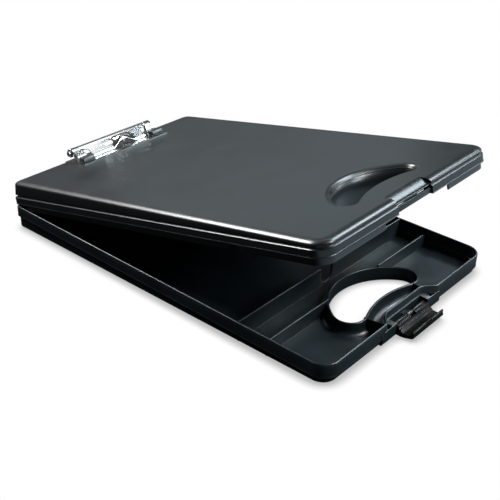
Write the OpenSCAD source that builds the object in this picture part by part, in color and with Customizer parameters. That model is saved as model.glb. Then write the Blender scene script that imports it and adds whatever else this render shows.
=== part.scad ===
// Storage clipboard box: a wedge-shaped writing lid with a spring clip, hinged at the rear
// on a compartmented tray, with a hand hole through both and a fold-down front latch.
// +X is the width, +Y runs from the latch to the hinge, +Z is up.
// The origin is the centre of the tray's flat underside.

/* [Body] */
// Width of the tray and lid
body_w = 254; // [240:1:280]
// Length from the front face to the rear face
body_l = 391; // [370:1:420]
// Radius of the two front corners
corner_r = 16; // [12:1:22]
// Radius of the two rear corners
rear_corner_r = 5; // [5:0.5:10]
// Wall thickness of the shells
wall = 2.2; // [1.8:0.1:2.6]
// Thickness of the tray's floor
floor_t = 2.2; // [1.6:0.1:3]

/* [Tray] */
// Height of the tray's rim at the front
rim_front = 20.3; // [19:0.1:23]
// Height of the tray's rim at the rear
rim_rear = 24.5; // [22:0.1:30]
// Height of the set-in lower band at the front
band_front = 6.7; // [5:0.1:8]
// Height of the set-in lower band at the rear
band_rear = 13.6; // [9:0.1:15]
// How far the lower band is set in
band_inset = 2.2; // [1:0.1:3]
// Thickness of the dividers
divider_t = 2; // [1.4:0.1:3]
// Distance from the front face to the paper compartment's divider
paper_divider_y = 94.5; // [88:0.5:110]
// Height of the paper compartment's divider
paper_divider_h = 19.5; // [15:0.1:20]
// Distance from the front face to the pen tray's divider
pen_divider_y = 63.5; // [56:0.5:66]
// Width of the finger notch in the paper compartment's divider
notch_w = 18; // [12:1:30]
// Height of the notch's lowest point
notch_z = 4; // [3:0.1:8]

/* [Hand hole] */
// Height of the tray's wall round the hand hole
well_h = 14; // [8:0.1:14]
// Radius of the hand hole's rear edge
grip_back_r = 63; // [60:0.5:66]
// Distance from the front face to that radius's centre
grip_back_y = 13; // [12:0.5:15]
// Radius of the hand hole's two ends
grip_end_r = 14; // [12:0.5:15]
// Distance from the middle to the centres of the ends
grip_end_x = 41.7; // [38:0.1:44]
// Distance from the front face to the hand hole's front edge
grip_front_y = 32.8; // [31:0.1:34]
// How much smaller the lid's hand hole is all round
lid_grip_less = 4; // [2:0.1:6]
// How far the lid's hand hole wall reaches below the lid's edge
lid_well_drop = 1.5; // [0:0.1:3]
// Thickness of the ribs between the hand hole and the latch recess
grip_rib_t = 2; // [1.4:0.1:3]
// Distance from the middle to those ribs
grip_rib_x = 37; // [34:0.5:39]

/* [Lid] */
// Height of the lid above its edge at the front
lid_front = 13.5; // [13:0.1:16]
// Height of the lid above its edge at the rear
lid_rear = 23.4; // [18:0.1:28]
// Radius of the writing surface's two rear corners
lid_rear_r = 10; // [8:0.5:14]
// Thickness of the writing surface
lid_top_t = 2.6; // [2:0.1:3.2]
// Height of the lid's lower band
ledge_h = 8.4; // [8:0.1:9]
// Height of the groove above the lower band
groove_h = 1.5; // [0.8:0.1:2]
// Depth of the groove
groove_d = 2; // [1:0.1:2.2]
// How far the lid's upper part is set in from the lower band
lid_inset = 1.2; // [0.5:0.1:1.6]
// Width of the sloped edge round the writing surface
edge_w = 3; // [1:0.1:4]
// Height of the sloped edge round the writing surface
edge_h = 1.6; // [0.5:0.1:2]
// Depth of the locating skirt below the lid's edge
skirt_h = 6.3; // [3:0.1:6.3]
// Thickness of the locating skirt
skirt_t = 1.6; // [1.2:0.1:2]
// Half of the gap in the skirt at the latch
skirt_gap = 48; // [44:1:56]
// Height of the stiffening ribs under the writing surface
rib_h = 3; // [1:0.1:4]
// Spacing of the stiffening ribs
rib_pitch = 48; // [40:1:60]
// Opening of the lid as it stands
lid_open = 13.7; // [5:0.1:60]

/* [Hinge] */
// Radius of the hinge pins
hinge_pin_r = 1.5; // [1.2:0.05:1.6]
// Outer radius of the hinge knuckles
knuckle_r = 3.3; // [3:0.1:3.5]
// Distance from the rear face to the hinge line
hinge_out = 3.8; // [3.8:0.1:5]
// Distance from each side to the middle of its hinge
hinge_in = 43; // [30:1:60]
// Length of one knuckle
knuckle_w = 12; // [8:0.5:16]

/* [Latch] */
// Width of the latch
latch_w = 50; // [44:1:54]
// Distance from the front face to the latch's hinge line
latch_y = 4; // [3.8:0.1:4.4]
// Height of the latch's hinge line
latch_z = 8.5; // [8.3:0.1:8.9]
// Radius of the latch's pin
latch_pin_r = 1.25; // [1:0.05:1.4]
// Radius of the latch's barrel
latch_barrel_r = 2.6; // [2.3:0.1:2.9]
// Reach from the hinge line to the inside of the hooked lip
latch_reach = 18.6; // [18:0.1:19]
// Thickness of the hooked lip
latch_lip_t = 2.2; // [1.6:0.1:2.6]
// Thickness of the hooked lip's end
latch_tip_t = 1.4; // [1.2:0.1:1.6]
// Distance from the front face to the lid's catch bar
catch_front = 1.8; // [1.4:0.1:2]
// Thickness of the latch's plate
latch_web_t = 2.4; // [2:0.1:3]
// Depth of the recess in the tray's front
recess_d = 10; // [9.5:0.1:12]
// Half width of the recess at the front face
recess_front_x = 43; // [40:0.5:46]
// Half width of the recess at its back
recess_back_x = 28.4; // [28.2:0.1:30]
// Height of the recess's ledge beside the latch
recess_z = 13; // [12:0.1:14]
// Half width of the flush panel round the latch
panel_x = 47; // [46.5:0.5:52]
// Width of the tray's lug in the middle of the latch
lug_w = 8; // [6:0.5:10]

/* [Clip] */
// Half width of the clip's jaw
jaw_x = 56; // [52:0.5:60]
// Distance from the rear face to the clip's hinge line
clip_back = 12; // [11:0.5:18]
// Height of the clip's hinge line above the lid
clip_axis_h = 9.1; // [8.4:0.1:10]
// Outer radius of the jaw's rolled rear edge
roll_r = 4.6; // [4.4:0.1:5]
// Thickness of the jaw's sheet
jaw_t = 0.9; // [0.7:0.05:1.2]
// Distance from the hinge line to the jaw's front edge
jaw_reach = 13; // [12:0.5:16]
// Radius of the bead along the jaw's front edge
bead_r = 1.2; // [1:0.05:1.5]
// Half width of the jaw's front edge
plate_x = 37; // [32:0.5:39]
// Where the rolled rear edge ends, below level
roll_end = 10; // [0:1:20]
// Half width of the raised thumb lift
lift_x = 15; // [12:0.5:18]
// Distance of the thumb lift from the middle
lift_off = 5; // [0:0.5:8]
// Height of the raised thumb lift
lift_h = 7; // [5:0.1:8]
// Half width of the hanging hole
hang_x = 6.5; // [5:0.5:8]
// Half length of the hanging hole
hang_y = 3.3; // [3.1:0.1:3.4]
// Distance of the hanging hole from the middle
hang_off = 11; // [8:0.5:14]
// Distance from the hinge line to the middle of the hanging hole
hang_reach = 7.3; // [7:0.1:7.6]
// Width of each arm that carries a rubber tip
arm_w = 14; // [11:0.5:15]
// Length of each arm in front of the jaw
arm_l = 8.5; // [6:0.5:11]
// Radius of the clip's rod
rod_r = 1.5; // [1.2:0.05:1.6]
// Thickness of the clip's base plate
base_t = 1; // [0.8:0.1:1.4]
// Half width of the clip's base plate
base_x = 59.5; // [58:0.5:62]
// Reach of the base plate in front of the hinge line
base_front = 25; // [24:0.5:28]
// Reach of the base plate behind the hinge line
base_back = 6; // [5:0.5:8]
// Thickness of the base plate's ears
ear_t = 1.2; // [1:0.1:1.6]
// Reach of the ears' necks behind the hinge line
neck_back = 1.4; // [1:0.1:1.7]
// Distance from the middle to the outside of each ear
ear_x = 51; // [48:0.5:53]
// Radius of the rivets
rivet_r = 1.9; // [1.6:0.1:2.2]
// Distance from the middle to each rivet
rivet_x = 37; // [34:0.5:40]
// Radius of the washers under the writing surface
washer_r = 5; // [4.4:0.1:6]
// Thickness of the washers
washer_t = 0.8; // [0.6:0.1:1.2]
// Height of the rubber tips
tip_h = 6; // [5:0.1:7]
// Length of the rubber tips
tip_l = 10.5; // [9:0.5:12]

/* [Spring] */
// Radius of the spring's wire
wire_r = 0.45; // [0.3:0.05:0.5]
// Radius of the spring's coil at the middle of the wire
coil_r = 2.5; // [2.4:0.05:2.6]
// Distance from one turn to the next
coil_pitch = 1.6; // [1.5:0.1:2]
// Number of turns in each spring
coil_turns = 7; // [4:1:10]
// Distance from the middle to each spring
spring_x = 14; // [10:0.5:20]

/* [Clearances] */
// Gap between the closed lid and the tray
lid_gap = 0.3; // [0.2:0.05:0.5]
// Gap between the skirt and the tray's wall
skirt_clear = 0.5; // [0.4:0.05:0.8]
// Radial clearance of every pin in its hole
pin_clear = 0.05; // [0.02:0.01:0.1]
// Gap beside every knuckle, lug and barrel
side_clear = 0.4; // [0.3:0.05:0.6]
// Gap under the jaw and between latch and catch
seat_clear = 0.3; // [0.2:0.05:0.4]

/* [Hidden] */
$fn = 64;

// Side view of the wedge: heights at a distance from the front face
front_y = -body_l / 2;
rear_y = body_l / 2;
rim_rise = (rim_rear - rim_front) / body_l;
top_front = rim_front + lid_front;
top_rear = rim_rear + lid_rear;
top_rise = (top_rear - top_front) / body_l;
top_slope = atan(top_rise);
function rim_at(y) = rim_front + rim_rise * y;
function top_at(y) = top_front + top_rise * y;

// Hinge
hinge_x = body_w / 2 - hinge_in;
hinge_y = rear_y + hinge_out;
hinge_z = rim_rear;
hinge_bore_r = hinge_pin_r + pin_clear;
hinge_half = 1.5 * knuckle_w + side_clear;

// Hand hole, measured from the front face
grip_end_y = grip_back_y + sqrt(pow(grip_back_r - grip_end_r, 2) - pow(grip_end_x, 2));
grip_span = grip_end_y - grip_front_y;
grip_front_r = (pow(grip_end_x, 2) + pow(grip_span, 2) - pow(grip_end_r, 2)) / (2 * (grip_end_r - grip_span));
grip_front_c = grip_front_y - grip_front_r;
grip_lap = 0.5;

// Latch
latch_axis_y = front_y + latch_y;
latch_bore_r = latch_pin_r + pin_clear;
latch_half = latch_w / 2;
pocket_half = latch_half + side_clear;
cheek_t = wall;
pocket_back = latch_y + latch_barrel_r + 2;
catch_top = latch_z + latch_reach - seat_clear;
lip_top = latch_z + latch_reach + latch_tip_t;
slope_foot = lip_top + seat_clear;
catch_depth = catch_front + wall;
recess_low = catch_top - 2.8;
recess_top_y = 12;
recess_foot_y = 3.4;
catch_half = pocket_half + 1.2;

// Clip, in its own frame on the writing surface: x, distance behind the hinge line, height
clip_y = body_l - clip_back;
rod_bore_r = rod_r + pin_clear;
roll_in = roll_r - jaw_t;
bead_h = base_t + seat_clear + bead_r;
cheek_out = jaw_x;
rod_half = jaw_x + side_clear + 2;
rod_head_t = 1.4;
rod_head_r = rod_r + 1.1;
arm_x = jaw_x - arm_w;
arm_top = base_t + seat_clear + 2.4;
tip_wall = 0.9;
rivet_head_h = 1.1;
rivet_head_r = rivet_r + 1.7;
rivet_back = -6;
lift_r = (pow(lift_x, 2) + pow(lift_h, 2)) / (2 * lift_h);

// Straight body along X with an outline of [distance from the front face, height]
module side_prism(outline, half) {
    translate([-half, front_y, 0])
        rotate([90, 0, 90])
            linear_extrude(2 * half)
                polygon(outline);
}

// Layer between two heights that both slope from front to rear
module wedge(low_front, low_rear, high_front, high_rear) {
    side_prism([
        [-50, low_front - 50 * (low_rear - low_front) / body_l],
        [body_l + 50, low_rear + 50 * (low_rear - low_front) / body_l],
        [body_l + 50, high_rear + 50 * (high_rear - high_front) / body_l],
        [-50, high_front - 50 * (high_rear - high_front) / body_l]
    ], body_w);
}

// Upright body with the plan of the object, set in all round
module column(inset, height, rear = rear_corner_r) {
    w = body_w - 2 * inset;
    l = body_l - 2 * inset;
    r = corner_r - inset;
    q = max(rear - inset, 0.8);
    linear_extrude(height) {
        translate([r - w / 2, -l / 2])
            square([w - 2 * r, l / 2]);
        translate([q - w / 2, 0])
            square([w - 2 * q, l / 2]);
        translate([-w / 2, r - l / 2])
            square([w, l - r - q]);
        for (s = [-1, 1]) {
            translate([s * (w / 2 - r), r - l / 2])
                circle(r, $fn = 96);
            translate([s * (w / 2 - q), l / 2 - q])
                circle(q, $fn = 96);
        }
    }
}

// Plan of the hand hole, grown all round
module grip_plan(grow) {
    back = grip_back_r + grow;
    ends = grip_end_r + grow;
    inner = grip_front_r - grow;
    reach = grip_back_r - grip_end_r;
    back_x = back * grip_end_x / reach;
    back_y = grip_back_y + back * (grip_end_y - grip_back_y) / reach;
    span = grip_front_r + grip_end_r;
    inner_x = inner * grip_end_x / span;
    inner_y = grip_front_c + inner * (grip_end_y - grip_front_c) / span;
    translate([0, front_y]) {
        for (s = [-1, 1])
            translate([s * grip_end_x, grip_end_y])
                circle(ends);
        difference() {
            intersection() {
                translate([0, grip_back_y])
                    circle(back, $fn = 180);
                polygon([
                    [-inner_x, inner_y - 4 * grip_lap], [inner_x, inner_y - 4 * grip_lap],
                    [grip_end_x, grip_end_y], [back_x - grip_lap, back_y],
                    [back_x - grip_lap, back_y + back], [grip_lap - back_x, back_y + back],
                    [grip_lap - back_x, back_y], [-grip_end_x, grip_end_y]
                ]);
            }
            translate([0, grip_front_c])
                circle(inner, $fn = 180);
        }
    }
}

module grip_column(grow, z, height) {
    translate([0, 0, z])
        linear_extrude(height)
            grip_plan(grow);
}

// Round bar along X centred on x, at a distance behind the front face
module bar_x(r, half, y, z, x = 0) {
    translate([x - half, y, z])
        rotate([0, 90, 0])
            cylinder(r = r, h = 2 * half, $fn = 48);
}

// Box along X centred on x
module block_x(half, y0, y1, z0, z1, x = 0) {
    translate([x - half, y0, z0])
        cube([2 * half, y1 - y0, z1 - z0]);
}

// Turns the closed lid to its open rest position about the hinge line
module opened() {
    translate([0, hinge_y, hinge_z])
        rotate([-lid_open, 0, 0])
            translate([0, -hinge_y, -hinge_z])
                children();
}

// Places the clip's own frame on the open lid's writing surface
module on_lid() {
    opened()
        translate([0, front_y + clip_y, top_at(clip_y)])
            rotate([top_slope, 0, 0])
                children();
}

// Plan of the recess in the tray's front, with its walls grown inwards
module recess_plan(grow) {
    translate([0, front_y])
        polygon([
            [-recess_front_x - 1.4 * grow, -5], [recess_front_x + 1.4 * grow, -5],
            [recess_front_x + 1.4 * grow, 0], [recess_back_x + grow, recess_d + grow],
            [-recess_back_x - grow, recess_d + grow], [-recess_front_x - 1.4 * grow, 0]
        ]);
}

// Tray's outer form: a set-in lower band, a flush panel at the latch and the upper band
module tray_form() {
    intersection() {
        column(band_inset, band_rear + rim_rear);
        wedge(0, 0, band_front, band_rear);
    }
    intersection() {
        column(0, band_rear + rim_rear);
        wedge(band_front, band_rear, rim_front, rim_rear);
    }
    block_x(panel_x, front_y, front_y + 2 * band_inset, 0, rim_front / 2);
}

module tray_hollow() {
    translate([0, 0, floor_t])
        column(band_inset + wall, rim_rear);
    intersection() {
        column(wall, 2 * rim_rear);
        wedge(band_front + wall, band_rear + wall, rim_front + 1, rim_rear + 1);
    }
}

module dividers() {
    difference() {
        block_x(
            body_w / 2 - wall, front_y + paper_divider_y - divider_t / 2,
            front_y + paper_divider_y + divider_t / 2, 0, paper_divider_h
        );
        translate([0, front_y + paper_divider_y + divider_t, notch_z + notch_w / 2]) {
            rotate([90, 0, 0])
                cylinder(r = notch_w / 2, h = 2 * divider_t);
            block_x(notch_w / 2, -2 * divider_t, 0, 0, paper_divider_h);
        }
    }
    block_x(
        body_w / 2 - wall, front_y + pen_divider_y - divider_t / 2,
        front_y + pen_divider_y + divider_t / 2, 0, well_h
    );
}

// Walls round the latch: the recess, its ledge, the pocket and the pin's cheeks
module latch_housing() {
    intersection() {
        translate([0, 0, recess_z - wall])
            linear_extrude(rim_front)
                recess_plan(wall);
        column(0, 2 * rim_rear);
        wedge(0, 0, rim_front, rim_rear);
    }
    block_x(
        pocket_half + cheek_t, front_y, front_y + pocket_back + wall, 0, recess_z
    );
    for (s = [-1, 1])
        block_x(
            grip_rib_t / 2, front_y + recess_d, front_y + grip_end_y - grip_end_r,
            0, well_h, s * grip_rib_x
        );
}

module latch_room() {
    translate([0, 0, recess_z])
        linear_extrude(rim_rear)
            recess_plan(0);
    for (s = [-1, 1])
        translate([0, front_y, recess_z - 2 * wall])
            linear_extrude(3 * wall)
                polygon([
                    [s * (recess_back_x + 2.8), wall], [s * (recess_front_x - 4.4), wall],
                    [s * (recess_back_x + 2.8), recess_d - 3.6]
                ]);
    block_x(pocket_half, front_y - 5, front_y + pocket_back, -1, rim_rear);
}

// One knuckle with its foot, reaching down to the tray or up to the lid
module knuckle(x, side) {
    bar_x(knuckle_r, knuckle_w / 2, hinge_y, hinge_z, x);
    block_x(
        knuckle_w / 2, rear_y - wall, hinge_y,
        hinge_z + min(side * knuckle_r, side * 0.6), hinge_z + max(side * knuckle_r, side * 0.6), x
    );
    intersection() {
        translate([x - knuckle_w / 2, 0, 0])
            rotate([90, 0, 90])
                linear_extrude(knuckle_w)
                    polygon([
                        [rear_y - wall, hinge_z + side * knuckle_r],
                        [hinge_y, hinge_z + side * knuckle_r],
                        [rear_y - wall, hinge_z + side * (knuckle_r + 2 * hinge_out)]
                    ]);
        block_x(knuckle_w, rear_y - wall, hinge_y, 0, top_rear, x);
    }
}

module hinge_knuckles(side, offsets) {
    for (s = [-1, 1], k = offsets)
        knuckle(s * hinge_x + k * (knuckle_w + side_clear), side);
}

module hinge_bores() {
    for (s = [-1, 1])
        bar_x(hinge_bore_r, hinge_half + 1, hinge_y, hinge_z, s * hinge_x);
}

module tray() {
    color("#23262a")
        difference() {
            union() {
                difference() {
                    tray_form();
                    tray_hollow();
                }
                intersection() {
                    union() {
                        dividers();
                        grip_column(wall, 0, well_h);
                        latch_housing();
                    }
                    tray_form();
                }
                hinge_knuckles(-1, [-1, 1]);
            }
            grip_column(0, -1, rim_rear + 2);
            difference() {
                latch_room();
                intersection() {
                    block_x(lug_w / 2, front_y, front_y + pocket_back + 1, 0, latch_z);
                    union() {
                        bar_x(latch_barrel_r, lug_w / 2, latch_axis_y, latch_z);
                        block_x(lug_w / 2, latch_axis_y, front_y + pocket_back + 1, 0, latch_z);
                    }
                }
                bar_x(latch_barrel_r, lug_w / 2, latch_axis_y, latch_z);
            }
            bar_x(latch_bore_r, pocket_half + cheek_t + 1, latch_axis_y, latch_z);
            hinge_bores();
        }
}

module hinge_pin(side) {
    color("#b9bcc0")
        bar_x(hinge_pin_r, hinge_half, hinge_y, hinge_z, side * hinge_x);
}

// Lid's outer form when closed: lower band, groove, upper part and its sloped edge
module lid_form() {
    ledge_front = rim_front + ledge_h;
    ledge_rear = rim_rear + ledge_h;
    intersection() {
        column(0, 2 * top_rear);
        wedge(rim_front + lid_gap, rim_rear + lid_gap, ledge_front, ledge_rear);
    }
    intersection() {
        column(groove_d, 2 * top_rear, lid_rear_r);
        wedge(ledge_front, ledge_rear, ledge_front + groove_h, ledge_rear + groove_h);
    }
    intersection() {
        column(lid_inset, 2 * top_rear, lid_rear_r);
        wedge(ledge_front + groove_h, ledge_rear + groove_h, top_front - edge_h, top_rear - edge_h);
    }
    intersection() {
        column(lid_inset + edge_w, 2 * top_rear, lid_rear_r);
        wedge(top_front - edge_h, top_rear - edge_h, top_front, top_rear);
    }
}

module lid_hollow() {
    intersection() {
        column(wall + skirt_clear + skirt_t, 2 * top_rear, lid_rear_r);
        wedge(0, 0, top_front - edge_h - lid_top_t, top_rear - edge_h - lid_top_t);
    }
    intersection() {
        column(wall + skirt_clear + skirt_t + edge_w, 2 * top_rear, lid_rear_r);
        wedge(0, 0, top_front - lid_top_t, top_rear - lid_top_t);
    }
}

// Locating skirt that drops inside the tray's front and sides
module skirt() {
    difference() {
        intersection() {
            difference() {
                column(wall + skirt_clear, 2 * top_rear);
                translate([0, 0, -1])
                    column(wall + skirt_clear + skirt_t, 2 * top_rear + 2);
            }
            wedge(
                rim_front - skirt_h, rim_rear - skirt_h,
                rim_front + lid_gap + 1, rim_rear + lid_gap + 1
            );
        }
        block_x(skirt_gap, front_y, front_y + 3 * wall, 0, rim_rear);
        block_x(
            body_w, front_y + paper_divider_y - divider_t / 2 - 1.5,
            front_y + paper_divider_y + divider_t / 2 + 1.5, 0, rim_at(paper_divider_y)
        );
        block_x(body_w, rear_y - corner_r, rear_y, 0, rim_rear + lid_gap);
    }
}

// Stiffening ribs along the underside of the writing surface, behind the hand hole
module lid_ribs() {
    rib_start = grip_back_y + grip_back_r + wall;
    for (k = [-2:2])
        intersection() {
            block_x(wall / 2, front_y + rib_start, rear_y - wall, 0, 2 * top_rear, k * rib_pitch);
            wedge(
                top_front - lid_top_t - rib_h, top_rear - lid_top_t - rib_h,
                top_front - lid_top_t / 2, top_rear - lid_top_t / 2
            );
        }
}

// Curved step at the lid's front that clears the closed latch, above its catch bar
recess_line = [
    [recess_foot_y, slope_foot], [recess_foot_y + 0.4, slope_foot + 1.4],
    [recess_foot_y + 1.6, slope_foot + 2.8], [recess_foot_y + 4, top_at(recess_foot_y) - 0.5],
    [recess_top_y, top_at(recess_top_y)]
];

module lid_recess_void() {
    side_prism(concat(
        recess_line,
        [
            [recess_top_y, top_front + 20], [-5, top_front + 20], [-5, rim_front - 5],
            [catch_front, rim_front - 5], [catch_front, catch_top],
            [latch_y + 4.6, catch_top], [latch_y + 4.6, slope_foot]
        ]
    ), catch_half);
}

module lid_recess_wall() {
    intersection() {
        side_prism([
            [0, rim_front + lid_gap], [catch_depth, rim_front + lid_gap],
            [catch_depth, slope_foot - 2], [latch_y + 4.6, slope_foot - 2],
            [latch_y + 4.6, recess_low], [latch_y + 5 + wall, recess_low],
            [recess_top_y + 2 * wall, top_front - lid_top_t], [recess_top_y + 2 * wall, top_front],
            [recess_top_y, top_front + 5], [0, top_front + 5]
        ], catch_half + wall);
        lid_form();
    }
}

module rivet_holes() {
    translate([0, front_y + clip_y, top_at(clip_y)])
        rotate([top_slope, 0, 0])
            for (s = [-1, 1])
                translate([s * rivet_x, rivet_back, -lid_top_t - 2])
                    cylinder(r = rivet_r + pin_clear, h = lid_top_t + 4);
}

module lid() {
    color("#5a5e60")
        opened()
            difference() {
                union() {
                    difference() {
                        lid_form();
                        lid_hollow();
                    }
                    skirt();
                    intersection() {
                        lid_ribs();
                        lid_form();
                    }
                    intersection() {
                        grip_column(wall - lid_grip_less, 0, 2 * top_rear);
                        wedge(
                            rim_front - lid_well_drop, rim_rear - lid_well_drop,
                            top_front - lid_top_t / 2, top_rear - lid_top_t / 2
                        );
                    }
                    lid_recess_wall();
                    hinge_knuckles(1, [0]);
                }
                grip_column(-lid_grip_less, 0, 2 * top_rear);
                lid_recess_void();
                block_x(catch_half, front_y - 1, front_y + 2 * wall, 0, rim_front + lid_gap + 1.2);
                hinge_bores();
                rivet_holes();
            }
}

// Latch folded out: a hooked lip at the front edge and barrels on its pin
module latch() {
    lip_in = latch_y - latch_reach;
    lip_out = lip_in - latch_lip_t;
    plate_low = 1;
    plate_top = plate_low + latch_web_t;
    color("#2b2623")
        difference() {
            union() {
                for (s = [-1, 1])
                    block_x(
                        (latch_half - lug_w / 2 - side_clear) / 2,
                        latch_axis_y - 1.6, latch_axis_y, latch_z - 5, latch_z + 0.6,
                        s * (latch_half + lug_w / 2 + side_clear) / 2
                    );
                bar_x(latch_barrel_r, latch_half, latch_axis_y, latch_z);
                side_prism([
                    [latch_y - 1.6, latch_z + 1.9], [latch_y - 5.4, latch_z + 1.2],
                    [lip_in + 8.6, plate_top + 1.8], [lip_in + 5.6, plate_top],
                    [lip_in, plate_top], [lip_in, latch_z + 1.8], [lip_in - 0.9, latch_z + 1.7],
                    [lip_in - latch_tip_t, latch_z + 0.8], [lip_in - latch_tip_t, latch_z - 2.2],
                    [lip_out, plate_top + 1.2], [lip_out + 1.6, plate_low + 0.8],
                    [lip_in + 5, plate_low], [latch_y - 8, plate_low - 0.5],
                    [latch_y - 2, plate_low + 0.4], [latch_y - 1.6, plate_low + latch_web_t]
                ], latch_half);
            }
            bar_x(latch_bore_r, latch_half + 1, latch_axis_y, latch_z);
            block_x(
                lug_w / 2 + side_clear, latch_axis_y - latch_barrel_r - side_clear,
                latch_axis_y + 2 * latch_barrel_r, -1, 2 * latch_z
            );
        }
}

module latch_pin() {
    color("#9a9da1")
        bar_x(latch_pin_r, pocket_half + cheek_t, latch_axis_y, latch_z);
}

// Clip pieces, in the frame of the clip
module clip_base() {
    color("#c9cbcb")
        on_lid()
            difference() {
                union() {
                    block_x(base_x, -base_front, base_back, 0, base_t);
                    for (s = [-1, 1]) {
                        bar_x(roll_in - seat_clear, ear_t / 2, 0, clip_axis_h, s * (ear_x - ear_t / 2));
                        block_x(
                            ear_t / 2, seat_clear - roll_in, neck_back,
                            0, clip_axis_h, s * (ear_x - ear_t / 2)
                        );
                    }
                }
                bar_x(rod_bore_r, base_x, 0, clip_axis_h);
                for (s = [-1, 1])
                    translate([s * rivet_x, rivet_back, -1])
                        cylinder(r = rivet_r + pin_clear, h = base_t + 2);
            }
}

// Jaw's sheet seen from its end: the rear roll and the slope down to the front bead
slope_run = jaw_reach;
slope_drop = clip_axis_h - bead_h;
slope_reach = sqrt(slope_run * slope_run + slope_drop * slope_drop);
tangent_a = acos((roll_r - bead_r) / slope_reach);
base_a = atan2(-slope_drop, -slope_run);
normal_a = base_a - tangent_a;
sheet_top = [roll_r * cos(normal_a), clip_axis_h + roll_r * sin(normal_a)];
sheet_end = [-jaw_reach + bead_r * cos(normal_a), bead_h + bead_r * sin(normal_a)];
sheet_in = [-jaw_t * cos(normal_a), -jaw_t * sin(normal_a)];
sheet_slope = (sheet_top[1] - sheet_end[1]) / (sheet_top[0] - sheet_end[0]);
function sheet_at(y) = sheet_end[1] + sheet_slope * (y - sheet_end[0]);

module clip_prism(outline, half, x = 0) {
    translate([x - half, 0, 0])
        rotate([90, 0, 90])
            linear_extrude(2 * half)
                polygon(outline);
}

module jaw_sheet() {
    difference() {
        bar_x(roll_r, jaw_x, 0, clip_axis_h);
        bar_x(roll_in, jaw_x + 1, 0, clip_axis_h);
        clip_prism([
            [0, clip_axis_h], sheet_top, [sheet_top[0] - 2 * roll_r, clip_axis_h + 3 * roll_r],
            [-3 * roll_r, clip_axis_h], [-3 * roll_r, clip_axis_h - 3 * roll_r],
            [3 * roll_r, clip_axis_h - 3 * roll_r],
            [3 * roll_r * cos(roll_end), clip_axis_h - 3 * roll_r * sin(roll_end)]
        ], jaw_x + 1);
    }
    difference() {
        clip_prism([sheet_top, sheet_end, sheet_end + sheet_in, sheet_top + sheet_in], jaw_x);
        for (s = [-1, 1])
            block_x(
                (arm_x - plate_x) / 2, -2 * jaw_reach, -jaw_reach / 2, 0, 3 * clip_axis_h,
                s * (arm_x + plate_x) / 2
            );
    }
    bar_x(bead_r, plate_x, -jaw_reach, bead_h);
}

// Raised thumb lift over the middle of the front edge
module thumb_lift() {
    lift_back = -jaw_reach + 5;
    intersection() {
        translate([lift_off, -jaw_reach - bead_r, bead_h + lift_h - lift_r])
            rotate([-90, 0, 0])
                difference() {
                    cylinder(r = lift_r + jaw_t, h = lift_back + jaw_reach + bead_r, $fn = 128);
                    translate([0, 0, -1])
                        cylinder(r = lift_r, h = jaw_reach, $fn = 128);
                }
        block_x(
            lift_x + 1, -jaw_reach - bead_r, lift_back,
            bead_h - jaw_t, bead_h + 2 * lift_h, lift_off
        );
    }
}

module clip_jaw() {
    lift_back = -jaw_reach + 5;
    color("#c4c7c7")
        on_lid()
            difference() {
                union() {
                    difference() {
                        jaw_sheet();
                        block_x(
                            lift_x - 1, -2 * jaw_reach, lift_back - 2.2,
                            0, clip_axis_h + 2 * roll_r, lift_off
                        );
                    }
                    thumb_lift();
                    for (s = [-1, 1]) {
                        difference() {
                            bar_x(roll_r, jaw_t / 2, 0, clip_axis_h, s * (cheek_out - jaw_t / 2));
                            bar_x(rod_bore_r, jaw_x + 1, 0, clip_axis_h);
                        }
                        block_x(
                            arm_w / 2, -jaw_reach - arm_l, -jaw_reach,
                            arm_top - jaw_t, arm_top, s * (arm_x + arm_w / 2)
                        );
                        block_x(
                            arm_w / 2, -jaw_reach - 0.5, -jaw_reach + 2.4,
                            arm_top - jaw_t, arm_top, s * (arm_x + arm_w / 2)
                        );
                    }
                }
                for (s = [-1, 1])
                    translate([s * (hang_x - hang_y) - hang_off, -hang_reach, 0])
                        cylinder(r = hang_y, h = clip_axis_h + 2 * roll_r);
                block_x(
                    hang_x - hang_y, -hang_reach - hang_y, hang_y - hang_reach,
                    0, clip_axis_h + 2 * roll_r, -hang_off
                );
            }
}

module clip_rod() {
    color("#8f9296")
        on_lid() {
            bar_x(rod_r, rod_half - rod_head_t, 0, clip_axis_h);
            for (s = [-1, 1])
                bar_x(rod_head_r, rod_head_t / 2, 0, clip_axis_h, s * (rod_half - rod_head_t / 2));
        }
}

// Torsion spring: one wire that runs from its front leg round the coil to its rear leg
wire_sides = 6;
turn_steps = 20;
coil_steps = coil_turns * turn_steps;
coil_w = coil_turns * coil_pitch;
foot_a = 56;
foot_l = (clip_axis_h - coil_r * sin(foot_a) - base_t - wire_r - seat_clear) / cos(foot_a);
head_l = jaw_reach / 2;
start_a = -foot_a;
end_a = normal_a + 360 * (coil_turns + 1);
function coil_a(i) = start_a + (end_a - start_a) * i / coil_steps;
function coil_c(a) = [coil_r * cos(a), coil_r * sin(a)];
function coil_x(i) = coil_w * i / coil_steps;
function coil_dir(a) = [-sin(a), cos(a)];
function wire_point(i) =
    i < 0 ? [coil_x(0), coil_c(start_a) - foot_l * coil_dir(start_a)]
    : i > coil_steps ? [coil_x(coil_steps), coil_c(end_a) + head_l * coil_dir(end_a)]
    : [coil_x(i), coil_c(coil_a(i))];
function wire_a(i) = coil_a(min(max(i, 0), coil_steps));
function wire_ring(i, k) =
    let (
        p = wire_point(i), a = wire_a(i), t = 360 * k / wire_sides,
        out = wire_r * cos(t), side = wire_r * sin(t)
    )
    [p[0] + side, p[1][0] + out * cos(a), p[1][1] + out * sin(a)];
wire_points = [for (i = [-1:coil_steps + 1], k = [0:wire_sides - 1]) wire_ring(i, k)];
wire_rings = coil_steps + 3;
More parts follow.
